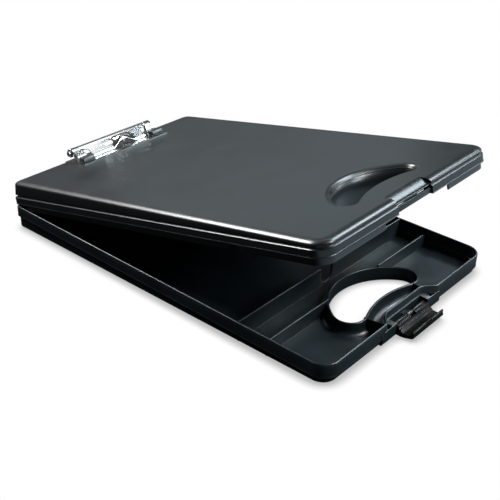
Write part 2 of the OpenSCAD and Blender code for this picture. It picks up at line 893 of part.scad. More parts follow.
wire_faces = concat(
    [for (i = [0:wire_rings - 2], k = [0:wire_sides - 1])
        [i * wire_sides + k, (i + 1) * wire_sides + k, (i + 1) * wire_sides + (k + 1) % wire_sides]],
    [for (i = [0:wire_rings - 2], k = [0:wire_sides - 1])
        [i * wire_sides + k, (i + 1) * wire_sides + (k + 1) % wire_sides, i * wire_sides + (k + 1) % wire_sides]],
    [for (k = [1:wire_sides - 2]) [0, k, k + 1]],
    [for (k = [1:wire_sides - 2])
        [(wire_rings - 1) * wire_sides, (wire_rings - 1) * wire_sides + k + 1, (wire_rings - 1) * wire_sides + k]]
);
echo(spring_gap = coil_pitch * coil_turns / ((end_a - start_a) / 360) - 2 * wire_r);

module spring(side) {
    color("#a8abad")
        on_lid()
            translate([0, 0, clip_axis_h])
                mirror([side < 0 ? 1 : 0, 0, 0])
                    translate([spring_x, 0, 0])
                        polyhedron(points = wire_points, faces = wire_faces, convexity = 8);
}

// Rubber tip that sleeves one arm of the jaw
module tip(side) {
    tip_front = -jaw_reach - arm_l - tip_wall;
    tip_x = side * (arm_x + arm_w / 2);
    half = arm_w / 2 + tip_wall;
    color("#2a3138")
        on_lid()
            difference() {
                union() {
                    block_x(
                        half, tip_front, tip_front + tip_l - tip_h / 2,
                        base_t + seat_clear, base_t + seat_clear + tip_h / 2, tip_x
                    );
                    bar_x(
                        tip_h / 2, half, tip_front + tip_l / 2,
                        base_t + seat_clear + tip_h / 2, tip_x
                    );
                    block_x(
                        half, tip_front + tip_l / 2, tip_front + tip_l - tip_h / 2,
                        base_t + seat_clear, base_t + seat_clear + tip_h, tip_x
                    );
                }
                block_x(
                    arm_w / 2, -jaw_reach - arm_l, tip_front + tip_l,
                    arm_top - jaw_t, arm_top, tip_x
                );
            }
}

module rivets() {
    color("#b4b7b9")
        on_lid()
            for (s = [-1, 1])
                translate([s * rivet_x, rivet_back, 0]) {
                    translate([0, 0, -lid_top_t - washer_t])
                        cylinder(r = rivet_r, h = lid_top_t + washer_t + base_t + rivet_head_h);
                    translate([0, 0, base_t])
                        cylinder(r = rivet_head_r, h = rivet_head_h);
                    translate([0, 0, -lid_top_t - washer_t - rivet_head_h])
                        cylinder(r = rivet_head_r, h = rivet_head_h);
                }
}

module washers() {
    color("#a9acae")
        on_lid()
            for (s = [-1, 1])
                translate([s * rivet_x, rivet_back, -lid_top_t - washer_t])
                    difference() {
                        cylinder(r = washer_r, h = washer_t);
                        translate([0, 0, -1])
                            cylinder(r = rivet_r + pin_clear, h = washer_t + 2);
                    }
}

tray();
lid();
hinge_pin(-1);  // hinge_pin_left
hinge_pin(1);  // hinge_pin_right
latch();
latch_pin();
clip_base();
clip_jaw();
clip_rod();
spring(-1);  // spring_left
spring(1);  // spring_right
tip(-1);  // tip_left
tip(1);  // tip_right
rivets();
washers();
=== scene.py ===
# Storage clipboard box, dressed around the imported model: moulded tray and lid, latch, chromed
# clip with rubber tips. Sizes are in millimetres, as the part's own; y is measured from the front
# face, and the lid is drawn closed and then turned to its rest pose.
import math

import bmesh
import bpy
import numpy as np
from mathutils import Matrix, Vector


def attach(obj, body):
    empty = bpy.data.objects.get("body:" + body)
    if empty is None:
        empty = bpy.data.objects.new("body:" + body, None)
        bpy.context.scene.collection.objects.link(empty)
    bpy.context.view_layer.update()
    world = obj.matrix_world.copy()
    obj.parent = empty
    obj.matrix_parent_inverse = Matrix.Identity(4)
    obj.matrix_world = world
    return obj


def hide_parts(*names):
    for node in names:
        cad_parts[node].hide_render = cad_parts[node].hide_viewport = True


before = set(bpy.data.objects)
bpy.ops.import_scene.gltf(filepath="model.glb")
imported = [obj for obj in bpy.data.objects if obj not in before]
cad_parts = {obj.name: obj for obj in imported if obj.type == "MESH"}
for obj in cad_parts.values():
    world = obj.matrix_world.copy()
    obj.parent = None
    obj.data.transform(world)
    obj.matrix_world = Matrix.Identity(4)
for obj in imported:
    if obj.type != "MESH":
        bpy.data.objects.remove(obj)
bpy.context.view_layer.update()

MM = 0.001

# Body
BODY_W, BODY_L, CORNER_R, REAR_R, WALL, FLOOR = 254.0, 391.0, 16.0, 5.0, 2.2, 2.2
RIM_FRONT, RIM_REAR = 20.3, 24.5
BAND_FRONT, BAND_REAR, BAND_IN = 6.7, 13.6, 2.2
PAPER_DIVIDER_Y, PAPER_DIVIDER_H = 94.5, 21.0
PEN_DIVIDER_Y, PEN_DIVIDER_H, WELL_H = 63.5, 16.0, 14.0
NOTCH_R, NOTCH_Z = 9.0, 4.0
RIB_HALF, RIB_FOOT, RIB_LOW = 0.9, 0.25, 0.6
DIVIDER_END, PEN_LOW_FROM, PEN_LOW_H = BODY_W / 2 - 1.2, 121.0, 14.2
SLANTED_RIB = ((38.5, 25.5), (35.5, 7.5))
LEDGE_HOLLOW = [(31.5, 0.9), (38.6, 0.9), (32.6, 7.0)]
SLIT = (-49.9, -49.0, -1.0, 1.0, 5.6, 12.5)
# Hand hole
GRIP_BACK_R, GRIP_BACK_Y = 63.0, 13.0
GRIP_END_R, GRIP_END_X, GRIP_END_Y = 14.0, 41.7, 38.69
GRIP_FRONT_R, GRIP_FRONT_C = 97.36, -64.56
LID_GRIP, COLLAR_FOOT = -4.0, 9.5
# Lid
LID_FRONT, LID_REAR, LEDGE_H, GROOVE_D, LID_IN = 13.5, 23.4, 8.4, 2.0, 1.2
TOP_T, SKIRT_H, LID_GAP, LID_REAR_R = 2.6, 6.3, 0.3, 10.0
SKIRT_LEFT, SKIRT_RIGHT = 43.0, 55.5
ROUND_H, ROUND_V = 7.6, 3.3
LID_RIB_PITCH, LID_RIB_FRONT, LID_RIB_H = 48.0, 78.5, 3.0
HINGE_Y, HINGE_Z, OPEN_DEG = BODY_L + 3.8, RIM_REAR, 13.7
HINGE_X, KNUCKLE_W, KNUCKLE_R, SIDE_GAP = 84.0, 12.0, 3.3, 0.4
# Latch and its recess
RECESS_X, RECESS_BACK_X, RECESS_D, RECESS_Z, PANEL_X = 43.5, 27.0, 10.0, 13.0, 47.0
POCKET_X, POCKET_Y = 25.4, 8.6
LATCH_Y, LATCH_Z, LATCH_X, BARREL_R, LUG_X = 4.0, 8.5, 25.0, 2.6, 4.0
CATCH_X, CATCH_FRONT, CATCH_LOW, CATCH_TOP = 26.6, 1.8, 21.8, 26.8
SLOT_TOP, RECESS_LOW = 28.8, 24.0
# Clip, measured from its hinge line and the writing surface
CLIP_BACK, CLIP_H, ROLL_R, SHEET_T, JAW_REACH = 12.0, 9.1, 4.6, 0.9, 13.0
JAW_X, PLATE_X, ARM_IN, ARM_ROOT_IN, BEAD_R, BEAD_H = 56.0, 37.0, 42.0, 47.5, 1.2, 2.5
LIFT_AT, LIFT_X, LIFT_H = 5.0, 15.0, 7.0
HANG_AT, HANG_X, HANG_Y, HANG_REACH = -11.0, 6.5, 3.3, 7.3
TIP_FRONT, TIP_LOW = -22.4, 1.3
WIRE_R, WIRE_LEG, WIRE_SEAT = 0.45, 6.5, 1.75
COIL_R, COIL_W, COIL_TURNS, SPRING_X = 2.5, 11.2, 7, 14.0


def rim_at(y):
    return RIM_FRONT + (RIM_REAR - RIM_FRONT) * y / BODY_L


def band_at(y):
    return BAND_FRONT + (BAND_REAR - BAND_FRONT) * y / BODY_L


def top_at(y):
    return rim_at(y) + LID_FRONT + (LID_REAR - LID_FRONT) * y / BODY_L


def smooth_step(t):
    t = min(max(t, 0.0), 1.0)
    return t * t * (3 - 2 * t)


def in_row(points):
    """Points with y from the front face, moved to the row frame."""
    return np.asarray(points, float) - [0, BODY_L / 2, 0]


def opened(points):
    """Points of the closed lid, turned about the hinge line to the rest pose, in the row frame."""
    p = np.array(points, float)
    a = math.radians(OPEN_DEG)
    dy, dz = p[:, 1] - HINGE_Y, p[:, 2] - HINGE_Z
    p[:, 1] = HINGE_Y + dy * math.cos(a) + dz * math.sin(a)
    p[:, 2] = HINGE_Z - dy * math.sin(a) + dz * math.cos(a)
    return in_row(p)


def on_lid(points):
    """Points of the clip's own frame, on the open lid, in the row frame."""
    p = np.array(points, float)
    slope = math.atan2(top_at(BODY_L) - top_at(0), BODY_L)
    base = BODY_L - CLIP_BACK
    y, z = p[:, 1].copy(), p[:, 2].copy()
    p[:, 1] = base + y * math.cos(slope) - z * math.sin(slope)
    p[:, 2] = top_at(base) + y * math.sin(slope) + z * math.cos(slope)
    return opened(p)


class Shape:
    """Points and faces of one mesh, made ring by ring."""

    def __init__(self):
        self.points, self.faces = [], []

    def ring(self, points):
        start = len(self.points)
        self.points.extend([tuple(map(float, p)) for p in points])
        return list(range(start, start + len(points)))

    def skin(self, a, b, closed=True):
        count = len(a)
        for i in range(count if closed else count - 1):
            j = (i + 1) % count
            self.faces.append((a[i], a[j], b[j], b[i]))

    def loft(self, rings, closed=True):
        made = [self.ring(r) for r in rings]
        for a, b in zip(made, made[1:]):
            self.skin(a, b, closed)
        return made

    def cap(self, ring):
        self.faces.append(tuple(ring))

    def solid(self, sections):
        """Lofts through closed sections and closes both ends."""
        made = self.loft(sections)
        self.cap(made[0][::-1])
        self.cap(made[-1])
        return self

    def add(self, other):
        start = len(self.points)
        self.points.extend(other.points)
        self.faces.extend(tuple(i + start for i in face) for face in other.faces)


def to_mesh(name, shape, place, fills=()):
    """A clean mesh of a shape in metres. Each fill is the rings that bound one flat face."""
    mesh = bpy.data.meshes.new(name)
    mesh.from_pydata([Vector(p) * MM for p in place(shape.points)], [], shape.faces)
    work = bmesh.new()
    work.from_mesh(mesh)
    work.verts.ensure_lookup_table()
    for rings in fills:
        edges = []
        for ring in rings:
            for i, v in enumerate(ring):
                pair = (work.verts[v], work.verts[ring[(i + 1) % len(ring)]])
                edges.append(work.edges.get(pair) or work.edges.new(pair))
        bmesh.ops.triangle_fill(work, use_beauty=True, edges=edges)
    bmesh.ops.remove_doubles(work, verts=work.verts, dist=0.004 * MM)
    bmesh.ops.recalc_face_normals(work, faces=work.faces)
    work.to_mesh(mesh)
    work.free()
    return mesh


def modified(mesh, *steps):
    """The mesh after these modifiers, each a (kind, settings) pair."""
    holder = bpy.data.objects.new("work", mesh)
    bpy.context.scene.collection.objects.link(holder)
    for kind, settings in steps:
        m = holder.modifiers.new(kind, kind)
        for key, value in settings.items():
            setattr(m, key, value)
    bpy.context.view_layer.update()
    done = bpy.data.meshes.new_from_object(
        holder.evaluated_get(bpy.context.evaluated_depsgraph_get())
    )
    bpy.data.objects.remove(holder)
    return done


def rounded(mesh, width, steps=3, angle=35):
    """The mesh with every edge sharper than an angle rounded over a width."""
    return modified(mesh, ("BEVEL", {
        "width": width * MM,
        "segments": steps,
        "limit_method": "ANGLE",
        "angle_limit": math.radians(angle),
        "use_clamp_overlap": True,
    }))


def cut(mesh, tool):
    """The mesh with another one taken away."""
    holder = bpy.data.objects.new("tool", tool)
    bpy.context.scene.collection.objects.link(holder)
    done = modified(mesh, ("BOOLEAN", {"operation": "DIFFERENCE", "solver": "EXACT", "object": holder}))
    bpy.data.objects.remove(holder)
    return done


def piece(name, meshes, body, material, nodes=(), smooth=32):
    """One finished object of several meshes, riding on a body in place of CAD nodes."""
    work = bmesh.new()
    for mesh in meshes:
        work.from_mesh(mesh)
    done = bpy.data.meshes.new(name)
    work.to_mesh(done)
    work.free()
    done.polygons.foreach_set("use_smooth", [True] * len(done.polygons))
    done.set_sharp_from_angle(angle=math.radians(smooth))
    done.materials.clear()
    done.materials.append(material)
    made = bpy.data.objects.new(name, done)
    bpy.context.scene.collection.objects.link(made)
    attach(made, body)
    if nodes:
        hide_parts(*nodes)
    return made


def post(outline, z0, z1):
    """An upright solid with an outline of (x, y) points."""
    return Shape().solid([[(x, y, z) for x, y in outline] for z in (z0, z1)])


def box_shape(x0, x1, y0, y1, z0, z1):
    return post([(x0, y0), (x1, y0), (x1, y1), (x0, y1)], z0, z1)


def prism(outline, x0, x1):
    """A solid along X with an outline of (y, z) points."""
    return Shape().solid([[(x, y, z) for y, z in outline] for x in (x0, x1)])


def bar(x0, x1, y, z, r, edge=0.3, steps=40):
    """A round bar along X with rounded ends."""
    ends = [(x0, r - edge), (x0 + edge * 0.3, r - edge * 0.3), (x0 + edge, r)]
    ends += [(x0 + x1 - x, q) for x, q in ends[::-1]]
    turn = np.linspace(0, 2 * math.pi, steps, endpoint=False)
    return Shape().solid([[(x, y + q * math.cos(t), z + q * math.sin(t)) for t in turn] for x, q in ends])


# Outlines: points with outward normals, counter-clockwise from above


def front_line(xs, recessed):
    """The front edge from left to right. Where it is recessed it runs in to the latch recess."""

    def depth(x):
        inward = smooth_step((RECESS_X - abs(x)) / (RECESS_X - RECESS_BACK_X))
        return RECESS_D * inward if recessed else 0.0

    points = np.array([(x, depth(x)) for x in xs])
    slopes = np.array([(depth(x + 0.05) - depth(x - 0.05)) / 0.1 for x in xs])
    normals = np.stack([slopes, -np.ones(len(xs))], 1)
    return points, normals / np.linalg.norm(normals, axis=1)[:, None]


def body_ring(xs, inset=0.0, rear_r=REAR_R, recessed=False, corner_steps=14, side_steps=14):
    """Plan of the body set in all round, always with the same number of points."""
    flat, normals = front_line(xs, recessed)
    points = list(map(tuple, flat - normals * inset))
    hx, back = BODY_W / 2 - inset, BODY_L - inset
    r, q = max(CORNER_R - inset, 0.8), max(rear_r - inset, 0.8)

    def corner(cx, cy, radius, start):
        for i in range(1, corner_steps):
            t = math.radians(start + 90 * i / corner_steps)
            points.append((cx + radius * math.cos(t), cy + radius * math.sin(t)))

    def line(start, end, steps):
        for t in np.linspace(0, 1, steps + 1):
            points.append(tuple(np.array(start) + np.subtract(end, start) * t))

    corner(hx - r, inset + r, r, -90)
    line((hx, inset + r), (hx, back - q), side_steps)
    corner(hx - q, back - q, q, 0)
    line((hx - q, back), (q - hx, back), 8)
    corner(q - hx, back - q, q, 90)
    line((-hx, back - q), (-hx, inset + r), side_steps)
    corner(r - hx, inset + r, r, 180)
    return np.array(points)


def grip_outline(back_steps=56, end_steps=30, front_steps=36):
    """The hand hole: rear arc, two round ends and the concave front arc, with a weight that is 1
    on the front arc and fades round the ends."""
    rear = math.atan2(GRIP_END_Y - GRIP_BACK_Y, GRIP_END_X)
    front = math.atan2(GRIP_FRONT_C - GRIP_END_Y, -GRIP_END_X)
    points, normals, weights = [], [], []

    def arc(c, r, start, end, steps, sign, weight):
        for i in range(steps):
            t = start + (end - start) * i / steps
            n = (math.cos(t), math.sin(t))
            points.append((c[0] + r * n[0], c[1] + r * n[1]))
            normals.append((sign * n[0], sign * n[1]))
            weights.append(weight(i / steps))

    def fade(t):
        return 1 - smooth_step(t * 2.2)

    foot = front % (2 * math.pi)
    arc((GRIP_END_X, GRIP_END_Y), GRIP_END_R, foot - 2 * math.pi, rear, end_steps, 1, fade)
    arc((0, GRIP_BACK_Y), GRIP_BACK_R, rear, math.pi - rear, back_steps, 1, lambda t: 0.0)
    arc((-GRIP_END_X, GRIP_END_Y), GRIP_END_R, math.pi - rear, math.pi - foot + 2 * math.pi,
        end_steps, 1, lambda t: fade(1 - t))
    high = math.atan2(GRIP_END_Y - GRIP_FRONT_C, GRIP_END_X)
    arc((0, GRIP_FRONT_C), GRIP_FRONT_R, math.pi - high, high, front_steps, -1, lambda t: 1.0)
    return np.array(points), np.array(normals), np.array(weights)


def at_height(flat, height):
    """Flat points with a height that may depend on y."""
    return [(x, y, height(y) if callable(height) else height) for x, y in flat]


GRIP_POINTS, GRIP_NORMALS, GRIP_FRONT = grip_outline()


def grip_ring(grow, height):
    return at_height(GRIP_POINTS + GRIP_NORMALS * np.reshape(grow, (-1, 1)), height)


# Materials

CLOUD_MM, STREAK_ROUGH, PLASTIC_IOR = 28.0, 0.05, 1.42


def linear(hex_colour):
    """An sRGB hex colour as linear RGBA."""
    parts = [int(hex_colour[i : i + 2], 16) / 255 for i in (1, 3, 5)]
    return [c / 12.92 if c <= 0.04045 else ((c + 0.055) / 1.055) ** 2.4 for c in parts] + [1.0]


def add_node(tree, kind, settings=(), **inputs):
    """Adds one node. An input is named, or i and its number. A tuple (node, output) links it, and
    anything else sets it."""
    node = tree.nodes.new(kind)
    for key, value in dict(settings).items():
        setattr(node, key, value)
    for key, value in inputs.items():
        numbered = key[0] == "i" and key[1:].isdigit()
        socket = node.inputs[int(key[1:]) if numbered else key.replace("_", " ")]
        if isinstance(value, tuple) and len(value) == 2 and hasattr(value[0], "outputs"):
            tree.links.new(value[0].outputs[value[1]], socket)
        else:
            socket.default_value = value
    return node


def new_material(name):
    material = bpy.data.materials.new(name)
    material.use_nodes = True
    tree = material.node_tree
    tree.nodes.clear()
    out = add_node(tree, "ShaderNodeOutputMaterial")
    place = add_node(tree, "ShaderNodeTexCoord")
    return material, tree, out, (place, "Object")


def moulded_plastic(name, dark, light, rough, grain_mm, grain_depth_mm, shine=0.5, cloud=0.04):
    """Moulded plastic or rubber: a fine even grain from the mould that breaks up the sheen, with
    slow changes of tone and gloss where it shrank as it cooled. The real grain is about 0.1 mm
    and is drawn coarser here so that it shows."""
    material, tree, out, place = new_material(name)
    slow = add_node(tree, "ShaderNodeTexNoise",
                    Vector=place, Scale=1 / (CLOUD_MM * MM), Detail=3.0, Roughness=0.55)
    fine = add_node(tree, "ShaderNodeTexNoise",
                    Vector=place, Scale=1 / (grain_mm * MM), Detail=2.0, Roughness=0.6)
    tone = add_node(tree, "ShaderNodeMapRange", i0=(slow, "Fac"), i1=0.35, i2=0.65)
    colour = add_node(tree, "ShaderNodeMix", {"data_type": "RGBA"},
                      i0=(tone, "Result"), i6=linear(dark), i7=linear(light))
    gloss = add_node(tree, "ShaderNodeMapRange",
                     i0=(slow, "Fac"), i1=0.3, i2=0.7, i3=rough - cloud, i4=rough + cloud)
    bump = add_node(tree, "ShaderNodeBump",
                    Height=(fine, "Fac"), Distance=grain_depth_mm * MM, Strength=1.0)
    shader = add_node(tree, "ShaderNodeBsdfPrincipled", Base_Color=(colour, 2),
                      Roughness=(gloss, "Result"), Normal=(bump, "Normal"),
                      IOR=PLASTIC_IOR, Specular_IOR_Level=shine)
    tree.links.new(shader.outputs[0], out.inputs[0])
    return material


def worked_metal(name, dark, light, rough, streak_mm):
    """Metal with faint streaks along X, left by the polishing wheel or the drawing die. They are
    about 0.1 mm apart in fact and are drawn coarser here so that they show."""
    material, tree, out, place = new_material(name)
    stretch = add_node(tree, "ShaderNodeMapping", Vector=place, Scale=[1 / (s * MM) for s in streak_mm])
    streaks = add_node(tree, "ShaderNodeTexNoise",
                       Vector=(stretch, "Vector"), Scale=1.0, Detail=3.0, Roughness=0.6)
    gloss = add_node(tree, "ShaderNodeMapRange",
                     i0=(streaks, "Fac"), i1=0.3, i2=0.7, i3=rough, i4=rough + STREAK_ROUGH)
    tone = add_node(tree, "ShaderNodeMapRange", i0=(streaks, "Fac"), i1=0.3, i2=0.75)
    colour = add_node(tree, "ShaderNodeMix", {"data_type": "RGBA"},
                      i0=(tone, "Result"), i6=linear(dark), i7=linear(light))
    shader = add_node(tree, "ShaderNodeBsdfPrincipled",
                      Base_Color=(colour, 2), Metallic=1.0, Roughness=(gloss, "Result"))
    tree.links.new(shader.outputs[0], out.inputs[0])
    return material


# Black polypropylene with an etched face: deep black with a soft cool sheen on its walls.
TRAY_PLASTIC = moulded_plastic("etched black polypropylene", "#0f1517", "#141b1f", 0.33, 0.5, 0.006)
# The same plastic with a more even face: satin, with broad quiet highlights to write on.
LID_PLASTIC = moulded_plastic("satin black polypropylene", "#0a0d0e", "#0e1214", 0.31, 0.6, 0.006,
                              cloud=0.015)
# Acetal moulded against a coarse tool: a dull, slightly warm black with broken glints.
LATCH_PLASTIC = moulded_plastic("matt black acetal", "#020201", "#0d0904", 0.3, 1.1, 0.02, 0.2)
# Rubber from a dip mould: a dark blue-grey with a soft, faint sheen.
TIP_RUBBER = moulded_plastic("dip-moulded rubber", "#12171b", "#1c2328", 0.40, 0.4, 0.010)
# Chrome plate on polished sheet: a bright neutral mirror, faintly streaked from the wheel.
CHROME = worked_metal("chrome plate on steel", "#c4c5c4", "#cfd0ce", 0.14, (40, 1.2, 1.2))
# Bare drawn steel: greyer and duller than the chrome, with short fine streaks.
STEEL = worked_metal("drawn steel wire and pin", "#9a9c9f", "#b8babc", 0.28, (6, 0.5, 0.5))


# Tray

FRONT_X = np.concatenate([
    np.linspace(-(BODY_W / 2 - CORNER_R), -52, 7), [-PANEL_X, -PANEL_X], np.linspace(-45.5, -26, 27),
    np.linspace(-24, 24, 13), np.linspace(26, 45.5, 27), [PANEL_X, PANEL_X],
    np.linspace(52, BODY_W / 2 - CORNER_R, 7),
])


def tray_walls(shape):
    """The outer and inner faces of the tray's walls, from the underside to the inner floor."""
    count, front = len(body_ring(FRONT_X)), len(FRONT_X)
    x = np.append(FRONT_X, np.full(count - front, 2 * BODY_W))
    panel_edges = np.flatnonzero(np.abs(np.abs(x) - PANEL_X) < 0.01)
    at_panel = np.abs(x) < PANEL_X + 0.01
    at_panel[[panel_edges[0], panel_edges[-1]]] = False
    in_recess = np.abs(x) < RECESS_X + 0.6

    def ring(recessed, inset, z, low_inset=None, special=None):
        """One ring at an inset and height. low_inset takes its place except on the panel behind
        the latch, and special gives (recessed, inset, height) for the latch recess."""
        flat = body_ring(FRONT_X, inset, recessed=recessed)
        if low_inset is not None:
            flat = np.where(at_panel[:, None], flat, body_ring(FRONT_X, low_inset, recessed=recessed))
        heights = np.array([z(y) if callable(z) else z for y in flat[:, 1]])
        if special:
            flat = np.where(in_recess[:, None], body_ring(FRONT_X, special[1], recessed=special[0]), flat)
            heights = np.where(in_recess, special[2], heights)
        return np.column_stack([flat, heights])

    def between(share):
        return lambda y: band_at(y) + (rim_at(y) - band_at(y)) * share

    def above_band(dz):
        return lambda y: band_at(y) + dz

    def rim(dz):
        return lambda y: rim_at(y) + dz

    z, bottom, panel_bottom, bead = RECESS_Z, 3.0, 1.8, 0.22
    rings = [ring(False, panel_bottom + 0.5, 0.0, BAND_IN + bottom + 0.5)]
    for a in np.radians(np.linspace(0, 90, 7)):
        out, high = 1 - math.sin(a), bottom * (1 - math.cos(a))
        rings.append(ring(False, panel_bottom * out, high, BAND_IN + bottom * out))
    rings += [
        ring(False, 0.0, above_band(-0.5), BAND_IN),
        ring(False, 0.0, above_band(-0.12), BAND_IN - 0.12),
        ring(False, 0.0, above_band(0.0), BAND_IN - 0.5),
        ring(False, 0.0, above_band(0.0), 0.5),
        ring(False, 0.0, above_band(0.15), 0.12),
        ring(False, 0.0, above_band(0.5), 0.0),
        ring(False, 0.0, above_band(0.8), 0.03),
        ring(False, 0.1, above_band(1.05), bead, special=(False, 0.1, z - 1.8)),
        ring(False, bead, between(0.3), special=(False, bead, z - 0.35)),
        ring(False, bead, between(0.4), special=(False, bead + 0.1, z - 0.1)),
        ring(False, bead, between(0.45), special=(False, bead + 0.35, z)),
        ring(False, bead, between(0.5), special=(True, -0.3, z)),
        ring(False, bead, between(0.55), special=(True, -0.08, z + 0.08)),
        ring(False, bead, between(0.6), special=(True, 0.0, z + 0.3)),
        ring(True, bead, rim(-1.4)),
        ring(True, bead + 0.15, rim(-0.8)),
        ring(True, bead + 0.5, rim(-0.25)),
        ring(True, bead + 0.95, rim(0.0)),
        ring(True, WALL - 0.65, rim(0.0)),
        ring(True, WALL - 0.3, rim(-0.1)),
        ring(True, WALL - 0.08, rim(-0.4)),
        ring(True, WALL, rim(-1.0)),
        ring(True, WALL, above_band(2.0)),
        ring(True, WALL, above_band(1.6), WALL + 0.4),
        ring(True, WALL, above_band(1.2), WALL + 1.3),
    ]
    foot = 1.2
    for a in np.radians(np.linspace(0, 90, 7)):
        out = foot * (1 - math.cos(a))
        rings.append(ring(True, WALL + out, FLOOR + foot * (1 - math.sin(a)), WALL + 1.3 + out))
    rings.append(ring(True, WALL + foot + 0.4, FLOOR, WALL + 1.7 + foot))
    made = shape.loft(rings)
    return made[0], made[-1]


def tray_well(shape):
    """The wall round the hand hole, with a wide foot fillet on the floor."""
    r = WALL / 2
    rings = [grip_ring(1.0, 0.0), grip_ring(0.5, 0.0), grip_ring(0.1, 0.15), grip_ring(0.0, 0.6)]
    for t in np.linspace(0, 180, 9):
        a = math.radians(t)
        rings.append(grip_ring(r - r * math.cos(a), WELL_H - r + r * math.sin(a)))
    foot = 5.0 + 3.5 * GRIP_FRONT
    for t in np.linspace(0, 90, 10):
        a = math.radians(t)
        flat = GRIP_POINTS + GRIP_NORMALS * (WALL + foot * (1 - math.cos(a)))[:, None]
        rings.append(np.column_stack([flat, FLOOR + foot * (1 - math.sin(a))]))
    rings.append(grip_ring(WALL + foot + 0.4, FLOOR))
    made = shape.loft(rings)
    return made[0], made[-1]


def rib_section(y, height):
    """Section of an upright rib: foot fillets, straight sides and a rounded top."""
    right = [(RIB_HALF + RIB_FOOT, RIB_LOW)]
    for a in np.radians(np.linspace(90, 0, 6)):
        right.append((RIB_HALF + RIB_FOOT * (1 - math.cos(a)), FLOOR + RIB_FOOT * (1 - math.sin(a))))
    for a in np.radians(np.linspace(0, 90, 6)):
        right.append((RIB_HALF * math.cos(a), height - RIB_HALF + RIB_HALF * math.sin(a)))
    left = [(-d, z) for d, z in right[::-1]][1:]
    return [(y + d, z) for d, z in right + left]


def divider(y, stations):
    """An upright rib along X with a height at each station. Its ends stop in the stepped wall."""
    step, tuck = band_at(y) + 1.5, BAND_IN - 0.4
    rows = []
    for x, height in stations:
        over = max(abs(x) - (BODY_W / 2 - WALL - BAND_IN), 0)
        low_x = x - math.copysign(min(over, tuck), x)
        rows.append([(low_x if z < step else x, d, z) for d, z in rib_section(y, height)])
    return Shape().solid(rows)


def notch_stations():
    """Heights along the paper divider, with a finger notch in its middle."""
    bottom, top = NOTCH_Z + NOTCH_R, PAPER_DIVIDER_H
    across = NOTCH_R * np.sin(np.radians(np.linspace(-84, 84, 23)))
    curve = [(x, bottom - math.sqrt(max(NOTCH_R**2 - x * x, 0))) for x in across]
    edge = [
        (NOTCH_R, bottom + 1.5), (NOTCH_R + 0.05, top - 1.4), (NOTCH_R + 0.4, top - 0.4),
        (NOTCH_R + 1.3, top),
    ]
    right = edge + [(x, top) for x in np.linspace(20, DIVIDER_END, 9)]
    return [(-x, h) for x, h in right[::-1]] + curve + right


def slanted_rib(p, q, height):
    """An upright rib from p to q in plan."""
    d = np.subtract(q, p)
    length = np.linalg.norm(d)
    along, across = d / length, np.array([-d[1], d[0]]) / length
    rows = []
    for t in (0.0, length):
        rows.append([(*(np.array(p) + along * t + across * a), z) for a, z in rib_section(0, height)])
    return Shape().solid(rows)


def knuckle_shapes(side, offsets):
    """Hinge knuckles with their feet, for the tray (side -1) or the lid (side 1). The offsets
    count knuckle widths from the middle of each hinge."""
    round_parts, feet = Shape(), Shape()
    for s in (-1, 1):
        for k in offsets:
            x = s * HINGE_X + k * (KNUCKLE_W + SIDE_GAP)
            x0, x1 = x - KNUCKLE_W / 2, x + KNUCKLE_W / 2
            round_parts.add(bar(x0, x1, HINGE_Y, HINGE_Z, KNUCKLE_R, 0.4, 48))
            foot = [
                (BODY_L - WALL, HINGE_Z + side * 0.6), (HINGE_Y, HINGE_Z + side * 0.6),
                (HINGE_Y + 2.2, HINGE_Z + side * 2.4), (HINGE_Y, HINGE_Z + side * KNUCKLE_R),
                (BODY_L - WALL, HINGE_Z + side * (KNUCKLE_R + 7.6)),
            ]
            feet.add(prism(foot, x0, x1))
    return round_parts, feet


def make_tray():
    shape = Shape()
    low, floor_edge = tray_walls(shape)
    well_low, well_foot = tray_well(shape)
    walls = to_mesh("tray walls", shape, in_row, [(low, well_low), (floor_edge, well_foot)])
    openings = [box_shape(-POCKET_X, POCKET_X, -3, POCKET_Y, -2, RECESS_Z + 4)]
    for s in (-1, 1):
        openings.append(post([(s * x, y) for x, y in LEDGE_HOLLOW], 3.0, RECESS_Z + 3))
    openings.append(box_shape(*SLIT))
    for opening in openings:
        walls = cut(walls, to_mesh("opening", opening, in_row))
    ribs = Shape()
    ribs.add(divider(PAPER_DIVIDER_Y, notch_stations()))
    for s in (-1, 1):
        level = [(s * x, PEN_DIVIDER_H) for x in np.linspace(39.6, 119.6, 7)]
        low = [(s * PEN_LOW_FROM, PEN_LOW_H), (s * DIVIDER_END, PEN_LOW_H)]
        ribs.add(divider(PEN_DIVIDER_Y, level + low))
        ribs.add(slanted_rib(*[(s * x, y) for x, y in SLANTED_RIB], WELL_H))
    meshes = [walls, to_mesh("ribs", ribs, in_row)]
    round_parts, feet = knuckle_shapes(-1, (-1, 1))
    round_parts.add(bar(-LUG_X, LUG_X, LATCH_Y, LATCH_Z, BARREL_R))
    feet.add(box_shape(-LUG_X, LUG_X, LATCH_Y, POCKET_Y + 1, 0.2, LATCH_Z))
    meshes.append(to_mesh("knuckles", round_parts, in_row))
    meshes.append(rounded(to_mesh("feet", feet, in_row), 0.35))
    return piece("tray_moulding", meshes, "tray", TRAY_PLASTIC, ["tray"])


# Lid

LID_X = np.concatenate([
    np.linspace(-(BODY_W / 2 - CORNER_R), -30, 11), [-CATCH_X, -CATCH_X], np.linspace(-24, 24, 11),
    [CATCH_X, CATCH_X], np.linspace(30, BODY_W / 2 - CORNER_R, 11),
])

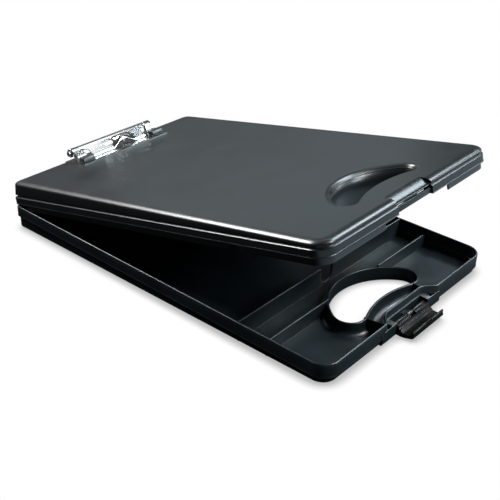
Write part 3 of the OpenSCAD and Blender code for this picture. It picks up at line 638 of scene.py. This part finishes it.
# Section of the lid from its ceiling round the lower edge to the writing surface. Each row has
# the inset, the height above the tray's rim (r) or the top (t), and the (y, height) of the same
# point in the latch recess, where a height over 15 is absolute and a smaller one is from the top.
LID_SECTION = [
    (8.0, "t", -TOP_T, (17.4, -TOP_T)),
    (7.3, "t", -TOP_T, (16.6, -TOP_T)),
    (5.4, "t", -TOP_T - 0.25, (15.2, -TOP_T - 0.2)),
    (4.5, "t", -TOP_T - 0.9, (12.6, -TOP_T - 1.2)),
    (4.3, "t", -TOP_T - 1.8, (11.3, 30.0)),
    (4.3, "r", 1.0, (11.2, RECESS_LOW + 0.6)),
    (4.2, "r", 0.5, (10.9, RECESS_LOW + 0.15)),
    (3.8, "r", LID_GAP, (10.5, RECESS_LOW)),
    (0.75, "r", LID_GAP, (9.1, RECESS_LOW)),
    (0.25, "r", LID_GAP + 0.15, (8.75, RECESS_LOW + 0.15)),
    (0.0, "r", LID_GAP + 0.5, (8.6, RECESS_LOW + 0.6)),
    (0.1, "r", LID_GAP + 0.8, (8.6, RECESS_LOW + 1.2)),
    (0.34, "r", LID_GAP + 1.05, (8.6, RECESS_LOW + 1.8)),
    (0.36, "r", LID_GAP + 1.7, (8.6, RECESS_LOW + 2.6)),
    (0.36, "r", LEDGE_H - 2.2, (8.6, SLOT_TOP - 0.5)),
    (0.38, "r", LEDGE_H - 1.5, (8.4, SLOT_TOP - 0.12)),
    (0.5, "r", LEDGE_H - 1.1, (8.0, SLOT_TOP)),
    (0.9, "r", LEDGE_H - 0.85, (3.2, SLOT_TOP)),
    (1.75, "r", LEDGE_H - 0.42, (2.6, SLOT_TOP + 0.15)),
    (GROOVE_D, "r", LEDGE_H, (2.3, SLOT_TOP + 0.5)),
    (GROOVE_D, "r", LEDGE_H + 1.15, (2.6, SLOT_TOP + 0.7)),
    (1.8, "r", LEDGE_H + 1.42, (3.3, SLOT_TOP + 0.85)),
    (1.4, "r", LEDGE_H + 1.5, (3.9, SLOT_TOP + 1.0)),
    (LID_IN, "r", LEDGE_H + 1.75, (4.8, SLOT_TOP + 1.3)),
]
RECESS_TOP = [
    (5.7, 30.6), (6.7, 31.3), (7.8, 32.0), (9.0, 32.7),
    (10.2, 33.25), (11.2, 33.65), (12.2, 33.95), (13.2, 0.0),
]
for step, recess in enumerate(RECESS_TOP):
    t = math.radians(90 * step / 7)
    LID_SECTION.append((LID_IN + ROUND_H * (1 - math.cos(t)), "t", ROUND_V * (math.sin(t) - 1), recess))
LID_SECTION.append((LID_IN + ROUND_H + 0.4, "t", 0.0, (13.8, 0.0)))


def lid_walls(shape):
    """The lid's outer and inner faces, with the latch recess between the two doubled points."""
    doubles = np.flatnonzero(np.abs(np.abs(LID_X) - CATCH_X) < 0.01)
    rings = []
    for inset, level, dz, (ry, rz) in LID_SECTION:
        flat = body_ring(LID_X, inset, LID_REAR_R if level == "t" or inset > 1.9 else REAR_R)
        height = rim_at if level == "r" else top_at
        rows = [(x, y, height(y) + dz) for x, y in flat]
        for i in range(doubles[1], doubles[2] + 1):
            rows[i] = (LID_X[i], ry, rz if rz > 15 else top_at(ry) + rz)
        rings.append(rows)
    made = shape.loft(rings)
    return made[0], made[-1]


def lid_hand_hole(shape):
    """Hand hole with a flared edge at the rear and ends and a plain one on the grip bar."""
    plain_share, flare_share = GRIP_FRONT, 1 - GRIP_FRONT
    inner = LID_GRIP - 1.8 * flare_share

    def lip(radius, end, steps):
        angles = np.radians(np.linspace(0, end, steps))
        return [(radius * math.sin(a), radius * (1 - math.cos(a))) for a in angles]

    flared = lip(5.0, 48, 8) + [(5.0, 3.3), (6.2, 5.2), (6.9, 7.4), (7.25, 10.0), (7.4, 13.0)]
    plain = lip(1.2, 90, len(flared))
    wide = flared[-1][0] * flare_share + plain[-1][0] * plain_share
    rings = [grip_ring(inner + wide + 0.4, top_at)]
    for (u, d), (v, e) in zip(flared, plain):
        grow = inner + wide - u * flare_share - v * plain_share
        drops = d * flare_share + e * plain_share
        rings.append([(x, y, z - drop) for (x, y, z), drop in zip(grip_ring(grow, top_at), drops)])
    for out, up in ((0, 0.9), (0.25, 0.25), (0.8, 0), (1.4, 0), (1.95, 0.25), (WALL, 0.9)):
        rings.append(grip_ring(inner + out, COLLAR_FOOT + up))
    for a in np.radians(np.linspace(0, 90, 4)):
        drop = TOP_T + 0.8 * (1 - math.sin(a))
        rings.append(grip_ring(inner + WALL + 0.8 * (1 - math.cos(a)), lambda y: top_at(y) - drop))
    rings.append(grip_ring(inner + WALL + 1.1, lambda y: top_at(y) - TOP_T))
    made = shape.loft(rings)
    return made[0], made[-1]


def skirt_shape():
    """Locating skirt below the lid's edge, with gaps at the latch, the divider and the hinge."""
    hx, r, gap, taper = BODY_W / 2, CORNER_R, 2.5, 6.0
    front_end, rear_start = PAPER_DIVIDER_Y - gap, PAPER_DIVIDER_Y + gap

    def front_run(start):
        path = [((x, 0.0), (0, -1)) for x in np.linspace(start, hx - r, 9)]
        for i in range(1, 12):
            t = math.radians(-90 + 90 * i / 12)
            path.append(((hx - r + r * math.cos(t), r + r * math.sin(t)), (math.cos(t), math.sin(t))))
        sides = np.append(np.linspace(r, PAPER_DIVIDER_Y - 9, 8), front_end)
        return path + [((hx, y), (1, 0)) for y in sides]

    sides = np.append(rear_start, np.linspace(PAPER_DIVIDER_Y + 9, BODY_L - r, 14))
    rear = [((hx, y), (1, 0)) for y in sides]
    out, inn = WALL + 0.5, WALL + 2.1
    section = [
        (out, 1.0), (out, 0.5 - SKIRT_H), (out + 0.15, 0.12 - SKIRT_H), (out + 0.5, -SKIRT_H),
        (inn - 0.5, -SKIRT_H), (inn - 0.15, 0.12 - SKIRT_H), (inn, 0.5 - SKIRT_H), (inn, 1.0),
    ]
    shape = Shape()
    for s, start in ((1, SKIRT_RIGHT), (-1, SKIRT_LEFT)):
        for run in (front_run(start), rear):
            rows = []
            for (px, py), (nx, ny) in run:
                depth = min(max((abs(py - PAPER_DIVIDER_Y) - gap) / taper, 0.15), 1)
                rows.append([
                    (s * (px - nx * d), py - ny * d, rim_at(py) + (dz * depth if dz < 0 else dz))
                    for d, dz in section
                ])
            shape.solid(rows)
    return shape


def lid_ribs():
    """Five ribs along the underside, from behind the hand hole to the rear wall."""
    half_section = [(1.3, -0.6), (1.1, 0.3), (0.8, LID_RIB_H - 0.3), (0.5, LID_RIB_H)]
    section = [(-d, drop) for d, drop in half_section] + half_section[::-1]
    shape = Shape()
    for k in range(-2, 3):
        rows = []
        for y in np.linspace(LID_RIB_FRONT, BODY_L - 4.0, 12):
            under = top_at(y) - TOP_T
            rows.append([(k * LID_RIB_PITCH + d, y, under - drop) for d, drop in section])
        shape.solid(rows)
    return shape


def make_lid():
    shape = Shape()
    ceiling, top_edge = lid_walls(shape)
    flare, collar = lid_hand_hole(shape)
    walls = to_mesh("lid walls", shape, opened, [(top_edge, flare), (ceiling, collar)])
    extras = skirt_shape()
    extras.add(lid_ribs())
    half = CATCH_X + 0.8
    catch = box_shape(-half, half, CATCH_FRONT, CATCH_FRONT + WALL, CATCH_LOW, CATCH_TOP)
    round_parts, feet = knuckle_shapes(1, (0,))
    meshes = [
        walls, to_mesh("skirt", extras, opened), rounded(to_mesh("catch", catch, opened), 0.25),
        to_mesh("lid knuckles", round_parts, opened), rounded(to_mesh("lid feet", feet, opened), 0.35),
    ]
    return piece("lid_moulding", meshes, "lid", LID_PLASTIC, ["lid"])


# Latch


def make_latch():
    """Hooked plate hanging from two barrels, folded out in front of the tray."""
    lip = LATCH_Y - 18.6
    outline = [
        (LATCH_Y - 1.2, LATCH_Z + 2.2), (LATCH_Y - 3.2, LATCH_Z + 1.9), (LATCH_Y - 4.6, LATCH_Z + 1.6),
        (LATCH_Y - 5.2, LATCH_Z + 0.6), (LATCH_Y - 6.6, LATCH_Z - 1.2), (LATCH_Y - 7.6, LATCH_Z - 1.0),
        (LATCH_Y - 8.6, LATCH_Z - 2.2), (LATCH_Y - 10.2, 4.9), (lip + 3.4, 4.6), (lip + 1.4, 5.2),
        (lip + 0.2, 7.2), (lip, 9.6), (lip - 0.5, 10.3), (lip - 1.0, 10.1), (lip - 1.4, 8.6),
        (lip - 1.6, 6.6), (lip - 2.2, 5.2), (lip - 1.9, 4.0), (lip - 0.2, 3.0), (lip + 3.4, 2.0),
        (lip + 7.0, 1.1), (LATCH_Y - 8, 0.6),
        (LATCH_Y - 3, 0.9), (LATCH_Y - 1.6, 2.4),
    ]
    ends = [(-LATCH_X, -LUG_X - SIDE_GAP), (LUG_X + SIDE_GAP, LATCH_X)]
    plate = rounded(to_mesh("plate", prism(outline, -LATCH_X, LATCH_X), in_row), 0.4, 3, 40)
    notch = box_shape(-LUG_X - SIDE_GAP, LUG_X + SIDE_GAP, LATCH_Y - 5.0, LATCH_Y + 6, -1, 14)
    plate = cut(plate, to_mesh("notch", notch, in_row))
    barrels, webs, ribs = Shape(), Shape(), Shape()
    for x0, x1 in ends:
        barrels.add(bar(x0, x1, LATCH_Y, LATCH_Z, BARREL_R, 0.5))
        webs.add(box_shape(x0 + 0.1, x1 - 0.1, LATCH_Y - 2.4, LATCH_Y, 2.2, LATCH_Z + 0.6))
    beads = ((LATCH_Y - 4.6, LATCH_Z + 1.3, 0.6), (LATCH_Y - 9.3, 5.0, 0.7), (lip - 1.1, 8.9, 0.75))
    for y, z, r in beads:
        for x0, x1 in ends:
            ribs.add(bar(x0 + 0.4, x1 - 0.4, y, z, r, 0.3, 20))
    meshes = [
        plate, to_mesh("barrels", barrels, in_row), rounded(to_mesh("webs", webs, in_row), 0.3),
        to_mesh("ribs", ribs, in_row),
    ]
    return piece("latch_moulding", meshes, "latch", LATCH_PLASTIC, ["latch"])


# Clip


def jaw_normal():
    """Angle in degrees at which the jaw's flat sheet leaves the roll."""
    run, drop = JAW_REACH, CLIP_H - BEAD_H
    tangent = math.acos((ROLL_R - BEAD_R) / math.hypot(run, drop))
    return math.degrees(math.atan2(-drop, -run) - tangent) % 360


def jaw_section():
    """Outer line of the jaw's sheet from the rolled rear edge to the front bead, as (y, z)."""

    def arc(y, z, r, start, end, steps):
        angles = np.radians(np.linspace(start, end, steps))
        return [(y + r * math.cos(a), z + r * math.sin(a)) for a in angles]

    roll = arc(0, CLIP_H, ROLL_R, -10, jaw_normal(), 30)
    bead = arc(-JAW_REACH, BEAD_H, BEAD_R, jaw_normal(), 275, 9)
    flat = [tuple(p) for p in np.linspace(roll[-1], bead[0], 24)]
    return roll + flat[1:] + bead[1:]


def jaw_sheet():
    """The bent sheet with its thumb lift and hanging hole."""
    shape, rows = Shape(), []
    columns = np.sin(np.linspace(-1, 1, 121) * math.pi / 2 * 0.999)
    for y, z in jaw_section():
        half = JAW_X + (PLATE_X - JAW_X) * smooth_step((-y - 0.5) / 7.5)
        row = []
        for x in columns * half:
            reach = LIFT_X * (0.95 if x < LIFT_AT else 1.35)
            bump = 0.5 * (1 + math.cos(math.pi * min(abs(x - LIFT_AT) / reach, 1)))
            lift = LIFT_H * bump * smooth_step((-y - 3.5) / (JAW_REACH - 4.0))
            row.append((x, y, z + lift))
        rows.append(row)
    shape.loft(rows, closed=False)
    thick = {"thickness": SHEET_T * MM, "offset": -1.0, "use_even_offset": True}
    sheet = modified(to_mesh("sheet", shape, on_lid), ("SOLIDIFY", thick))
    edge = []
    for t in np.linspace(0, 2 * math.pi, 48, endpoint=False):
        middle = HANG_AT + math.copysign(HANG_X - HANG_Y, math.cos(t))
        edge.append((middle + HANG_Y * math.cos(t), HANG_Y * math.sin(t) - HANG_REACH))
    return cut(sheet, to_mesh("hole", post(edge, -5, 25), on_lid))


def make_jaw():
    ends, arms = Shape(), Shape()
    spine = [
        (1.0, CLIP_H + 4.45), (-1.6, CLIP_H + 4.2), (-4.2, 11.4), (-6.8, 8.9), (-9.4, 6.4),
        (-11.6, 4.6), (-13.6, 3.65), (-16.0, 3.3), (-21.4, 3.3),
    ]
    for s in (-1, 1):
        x0, x1 = sorted((s * (JAW_X - SHEET_T), s * JAW_X))
        ends.add(bar(x0, x1, 0, CLIP_H, ROLL_R, 0.25, 56))
        rows = []
        for i, (y, z) in enumerate(spine):
            t = smooth_step(i / 5)
            inner_x = ARM_ROOT_IN + (ARM_IN + 0.4 - ARM_ROOT_IN) * t
            outer_x = JAW_X - 0.2 * t
            j = min(max(i, 1), len(spine) - 2)
            d = np.subtract(spine[j + 1], spine[j - 1])
            n = np.array([-d[1], d[0]]) / np.linalg.norm(d) * SHEET_T / 2
            up, down = (y + n[0], z + n[1]), (y - n[0], z - n[1])
            rows.append([
                (s * inner_x, *up), (s * outer_x, *up), (s * outer_x, *down), (s * inner_x, *down),
            ])
        arms.solid(rows)
    bevel = {"width": 0.3 * MM, "segments": 2, "limit_method": "ANGLE", "angle_limit": math.radians(60)}
    arms = modified(
        to_mesh("arms", arms, on_lid), ("BEVEL", bevel), ("SUBSURF", {"levels": 2, "render_levels": 2})
    )
    meshes = [jaw_sheet(), to_mesh("ends", ends, on_lid), arms]
    return piece("jaw_sheet_metal", meshes, "jaw", CHROME, ["clip_jaw"], smooth=50)


def spring_tree():
    """Torsion spring: a wire wound about the rod, with a straight leg tangent to each end of the
    coil. All sizes are in millimetres and the rod lies along X."""
    tree = bpy.data.node_groups.new("torsion spring", "GeometryNodeTree")
    tree.interface.new_socket("Geometry", in_out="OUTPUT", socket_type="NodeSocketGeometry")
    for name in ("Wire Radius", "Coil Radius", "Width", "Start Angle", "End Angle", "Side"):
        tree.interface.new_socket(name, in_out="INPUT", socket_type="NodeSocketFloat")
    for name in ("Foot", "Head"):
        tree.interface.new_socket(name, in_out="INPUT", socket_type="NodeSocketVector")
    given = add_node(tree, "NodeGroupInput")

    def round_rod(angle, along):
        """The point at an angle round the rod and a distance along it, towards the given side."""
        cosine = add_node(tree, "ShaderNodeMath", {"operation": "COSINE"}, i0=angle)
        sine = add_node(tree, "ShaderNodeMath", {"operation": "SINE"}, i0=angle)
        turn = add_node(tree, "ShaderNodeCombineXYZ", Y=(cosine, 0), Z=(sine, 0))
        ring = add_node(tree, "ShaderNodeVectorMath", {"operation": "SCALE"},
                        i0=(turn, 0), Scale=(given, "Coil Radius"))
        side = add_node(tree, "ShaderNodeMath", {"operation": "MULTIPLY"}, i0=along, i1=(given, "Side"))
        shift = add_node(tree, "ShaderNodeCombineXYZ", X=(side, 0))
        return add_node(tree, "ShaderNodeVectorMath", i0=(ring, 0), i1=(shift, 0))

    path = add_node(tree, "GeometryNodeCurvePrimitiveLine")
    fine = add_node(tree, "GeometryNodeResampleCurve", Curve=(path, 0), Count=COIL_TURNS * 28)
    share = add_node(tree, "GeometryNodeSplineParameter")
    angle = add_node(tree, "ShaderNodeMapRange",
                     i0=(share, "Factor"), i3=(given, "Start Angle"), i4=(given, "End Angle"))
    along = add_node(tree, "ShaderNodeMath", {"operation": "MULTIPLY"},
                     i0=(share, "Factor"), i1=(given, "Width"))
    coil = round_rod((angle, 0), (along, 0))
    wound = add_node(tree, "GeometryNodeSetPosition", Geometry=(fine, 0), Position=(coil, 0))
    first = round_rod((given, "Start Angle"), 0.0)
    last = round_rod((given, "End Angle"), (given, "Width"))
    foot = add_node(tree, "GeometryNodeCurvePrimitiveLine", Start=(given, "Foot"), End=(first, 0))
    head = add_node(tree, "GeometryNodeCurvePrimitiveLine", Start=(last, 0), End=(given, "Head"))
    wires = add_node(tree, "GeometryNodeJoinGeometry")
    for part in (wound, foot, head):
        tree.links.new(part.outputs[0], wires.inputs[0])
    outline = add_node(tree, "GeometryNodeCurvePrimitiveCircle",
                       Resolution=12, Radius=(given, "Wire Radius"))
    tube = add_node(tree, "GeometryNodeCurveToMesh",
                    Curve=(wires, 0), Profile_Curve=(outline, 0), Fill_Caps=True)
    real = add_node(tree, "GeometryNodeRealizeInstances", Geometry=(tube, 0))
    steel = add_node(tree, "GeometryNodeSetMaterial", Geometry=(real, 0), Material=STEEL)
    add_node(tree, "NodeGroupOutput", i0=(steel, 0))
    return tree


def grown(tree, values):
    """The plain mesh that a geometry tree makes from the values of its named inputs."""
    holder = bpy.data.objects.new("grown", bpy.data.meshes.new("seed"))
    bpy.context.scene.collection.objects.link(holder)
    grower = holder.modifiers.new("tree", "NODES")
    grower.node_group = tree
    for item in tree.interface.items_tree:
        if item.item_type == "SOCKET" and item.in_out == "INPUT":
            grower[item.identifier] = values[item.name]
    bpy.context.view_layer.update()
    done = bpy.data.meshes.new_from_object(holder.evaluated_get(bpy.context.evaluated_depsgraph_get()))
    bpy.data.objects.remove(holder)
    return done


def make_spring(tree, side, name, node):
    """One spring on the clip's rod, its foot on the base plate and its head under the jaw."""
    start, end = math.radians(-56), math.radians(jaw_normal() + 360 * (COIL_TURNS + 1))
    reach = (CLIP_H + COIL_R * math.sin(start) - WIRE_SEAT) / math.cos(start)

    def leg_end(x, angle, length):
        """The far end of a leg that leaves the coil along its tangent."""
        y = COIL_R * math.cos(angle) - length * math.sin(angle)
        return [x, y, COIL_R * math.sin(angle) + length * math.cos(angle)]

    mesh = grown(tree, {
        "Wire Radius": WIRE_R, "Coil Radius": COIL_R, "Width": COIL_W, "Start Angle": start,
        "End Angle": end, "Side": float(side), "Foot": leg_end(0.0, start, -reach),
        "Head": leg_end(side * COIL_W, end, WIRE_LEG),
    })
    points = np.array([v.co for v in mesh.vertices]) + [side * SPRING_X, 0, CLIP_H]
    mesh.vertices.foreach_set("co", (on_lid(points) * MM).ravel())
    return piece(name, [mesh], "lid", STEEL, [node], smooth=50)


def make_tip(side, name, node):
    """Rubber boot on the end of one arm: rounded on top, flat underneath."""
    x0, x1 = sorted((side * (ARM_IN - 0.9), side * (JAW_X + 0.9)))
    profile = [(0, TIP_LOW), (0.4, 4.2), (2.4, 6.6), (5.4, 7.3), (7.6, 6.6), (8.2, 4.8), (8.2, TIP_LOW)]
    block = prism([(TIP_FRONT + y, z) for y, z in profile], x0, x1)
    mesh = rounded(to_mesh(name, block, on_lid), 0.9, 4, 20)
    return piece(name, [mesh], "jaw", TIP_RUBBER, [node])


# Everything

make_tray()
make_lid()
make_latch()
make_jaw()
coil_tree = spring_tree()
make_spring(coil_tree, -1, "torsion_spring_left", "spring_left")
make_spring(coil_tree, 1, "torsion_spring_right", "spring_right")
make_tip(-1, "tip_boot_left", "tip_left")
make_tip(1, "tip_boot_right", "tip_right")
for node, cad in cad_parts.items():
    finish = {"clip_base": CHROME}.get(node, STEEL)
    for slot in cad.material_slots:
        slot.material = finish


# Studio

CAMERA_AZIMUTH, CAMERA_ELEVATION, CAMERA_ROLL = -50.52, 30.20, 1.93
CAMERA_TARGET, CAMERA_DISTANCE = (-39.82, -41.58, 30.0), 846.58
SENSOR, FOCAL_PX, PICTURE_PX = 36.0, 913.78, 500
FLOOR_HALF, FLOOR_DROP, CONTACT_REACH = 6.0, 0.0002, 0.012
ROOM_LIGHT, HORIZON = 0.05, 0.03
# Each lamp's name, place, aim and size in metres, its radiance and its colour. The strips lie
# where the lid's edges mirror them, the reflectors where the writing surface and the walls do, and
# each small softbox lights the clip, the grip bar or the front.
LAMPS = [
    ("back strip", (-0.2, 1.5, 1.5), (0, 0, 0.08), (1.35, 0.5), 62, "#ffffff"),
    ("right strip", (1.2, -0.36, 1.32), (0, 0, 0.08), (1.0, 0.42), 30, "#e6f7ff"),
    ("overhead softbox", (0.64, 0.35, 1.12), (0, 0, 0.08), (0.3, 0.3), 2.5, "#ffffff"),
    ("side reflector", (1.62, 1.56, 0.74), (0, 0, 0.1), (1.1, 0.34), 1.36, "#e8f9ff"),
    ("front reflector", (1.35, -0.95, 0.62), (0, 0, 0.1), (0.9, 0.55), 1.6, "#e6f4ff"),
    ("bar softbox", (1.2, -0.56, 0.62), (0, -0.17, 0.01), (0.3, 0.25), 12, "#ffffff"),
    ("front softbox", (0.45, -1.0, 1.3), (0, -0.15, 0.02), (0.35, 0.35), 60, "#ffffff"),
    ("low softbox", (0.55, -1.35, 0.85), (0, -0.1, 0.02), (0.4, 0.3), 36, "#e6f4ff"),
]


def make_camera():
    azimuth, elevation = math.radians(CAMERA_AZIMUTH), math.radians(CAMERA_ELEVATION)
    roll = math.radians(CAMERA_ROLL)
    ahead, level = math.sin(elevation), math.cos(elevation)
    back = Vector((math.sin(azimuth) * level, -math.cos(azimuth) * level, ahead))
    right = Vector((math.cos(azimuth), math.sin(azimuth), 0))
    up = back.cross(right)
    across = right * math.cos(roll) + up * math.sin(roll)
    upward = up * math.cos(roll) - right * math.sin(roll)
    data = bpy.data.cameras.new("camera")
    data.sensor_width, data.lens = SENSOR, SENSOR * FOCAL_PX / PICTURE_PX
    data.clip_start, data.clip_end = 0.01, 50
    camera = bpy.data.objects.new("camera", data)
    place = Matrix.Translation((Vector(CAMERA_TARGET) + back * CAMERA_DISTANCE) * MM)
    camera.matrix_world = place @ Matrix((across, upward, back)).transposed().to_4x4()
    bpy.context.scene.collection.objects.link(camera)
    bpy.context.scene.camera = camera


def seen_share(tree, path, share):
    """1 to the camera, and a share of 1 to glossy and transmitted rays."""
    others = add_node(tree, "ShaderNodeMath", {"operation": "MAXIMUM"},
                      i0=(path, "Is Glossy Ray"), i1=(path, "Is Transmission Ray"))
    return add_node(tree, "ShaderNodeMath", {"operation": "MULTIPLY_ADD"},
                    i0=(others, 0), i1=(share, 0), i2=(path, "Is Camera Ray"))


def make_floor():
    """White paper sweep. The camera sees it white with a close contact shadow. In reflections it
    is pale blue, and white only in front of the object and away from its foot: the dark near its
    foot and behind it is painted shade, the white in front a painted pool of light. To diffuse
    light the paper is a dark grey, a painted shade."""
    s = FLOOR_HALF
    mesh = bpy.data.meshes.new("floor")
    mesh.from_pydata([(-s, -s, 0), (s, -s, 0), (s, s, 0), (-s, s, 0)], [], [(0, 1, 2, 3)])
    floor = bpy.data.objects.new("floor", mesh)
    floor.location.z = -FLOOR_DROP
    bpy.context.scene.collection.objects.link(floor)
    material, tree, out, place = new_material("white paper sweep")
    # Painted shade: to diffuse rays the paper is a dark grey, so that the object's sides stay black.
    paper = add_node(tree, "ShaderNodeBsdfDiffuse", Color=linear("#141414"))
    # Painted contact shadow: the paper's glow is dimmed where the object is close.
    near = add_node(tree, "ShaderNodeAmbientOcclusion", {"samples": 12}, Distance=CONTACT_REACH)
    soft = add_node(tree, "ShaderNodeMapRange", i0=(near, "AO"), i1=0.45, i2=0.92, i3=0.5, i4=1.0)
    path = add_node(tree, "ShaderNodeLightPath")
    # Reflected rays see the paper pale blue, and the camera sees it white.
    tint = add_node(tree, "ShaderNodeMix", {"data_type": "RGBA"},
                    i0=(path, "Is Camera Ray"), i6=linear("#d8f0ff"), i7=linear("#ffffff"))
    white = add_node(tree, "ShaderNodeEmission", Color=(tint, 2), Strength=(soft, "Result"))
    # Painted shade: reflected rays that meet the floor close to the object see it dark.
    away = add_node(tree, "ShaderNodeMapRange", i0=(path, "Ray Length"), i1=0.0, i2=0.18, i3=0.08, i4=1.0)
    # Painted pool of light: in reflections the floor is white only in front of the object.
    front = add_node(tree, "ShaderNodeVectorMath", {"operation": "DOT_PRODUCT"},
                     i0=place, i1=(0.3, -0.95, 0.0))
    painted_light_pool = add_node(tree, "ShaderNodeMapRange", i0=(front, "Value"), i1=0.1, i2=0.26, i3=0.03, i4=1.0)
    both = add_node(tree, "ShaderNodeMath", {"operation": "MULTIPLY"},
                    i0=(away, "Result"), i1=(painted_light_pool, "Result"))
    share = seen_share(tree, path, both)
    seen = add_node(tree, "ShaderNodeMixShader", i0=(share, 0), i1=(paper, 0), i2=(white, 0))
    tree.links.new(seen.outputs[0], out.inputs[0])
    mesh.materials.append(material)


def softbox(name, place, target, size, radiance, colour):
    """A rectangular softbox of a given size in metres, lit evenly to a radiance."""
    data = bpy.data.lights.new(name, "AREA")
    data.shape, data.size, data.size_y = "RECTANGLE", *size
    data.energy = radiance * math.pi * size[0] * size[1]
    data.color = linear(colour)[:3]
    light = bpy.data.objects.new(name, data)
    light.location = place
    light.rotation_euler = (Vector(target) - Vector(place)).to_track_quat("-Z", "Y").to_euler()
    bpy.context.scene.collection.objects.link(light)


def make_room():
    """A dim room that is white above the floor's far edge, to the camera and in what mirrors the
    horizon."""
    world = bpy.data.worlds.new("studio")
    bpy.context.scene.world = world
    world.use_nodes = True
    tree = world.node_tree
    tree.nodes.clear()
    out = add_node(tree, "ShaderNodeOutputWorld")
    room = add_node(tree, "ShaderNodeBackground", Color=linear("#f2f6ff"), Strength=ROOM_LIGHT)
    white = add_node(tree, "ShaderNodeBackground", Color=linear("#ffffff"), Strength=1.0)
    path = add_node(tree, "ShaderNodeLightPath")
    place = add_node(tree, "ShaderNodeTexCoord")
    split = add_node(tree, "ShaderNodeSeparateXYZ", i0=(place, "Generated"))
    low = add_node(tree, "ShaderNodeMath", {"operation": "LESS_THAN"}, i0=(split, "Z"), i1=HORIZON)
    share = seen_share(tree, path, low)
    seen = add_node(tree, "ShaderNodeMixShader", i0=(share, 0), i1=(room, 0), i2=(white, 0))
    tree.links.new(seen.outputs[0], out.inputs[0])


make_camera()
make_floor()
make_room()
for lamp in LAMPS:
    softbox(*lamp)
bpy.context.scene.view_settings.view_transform = "Standard"
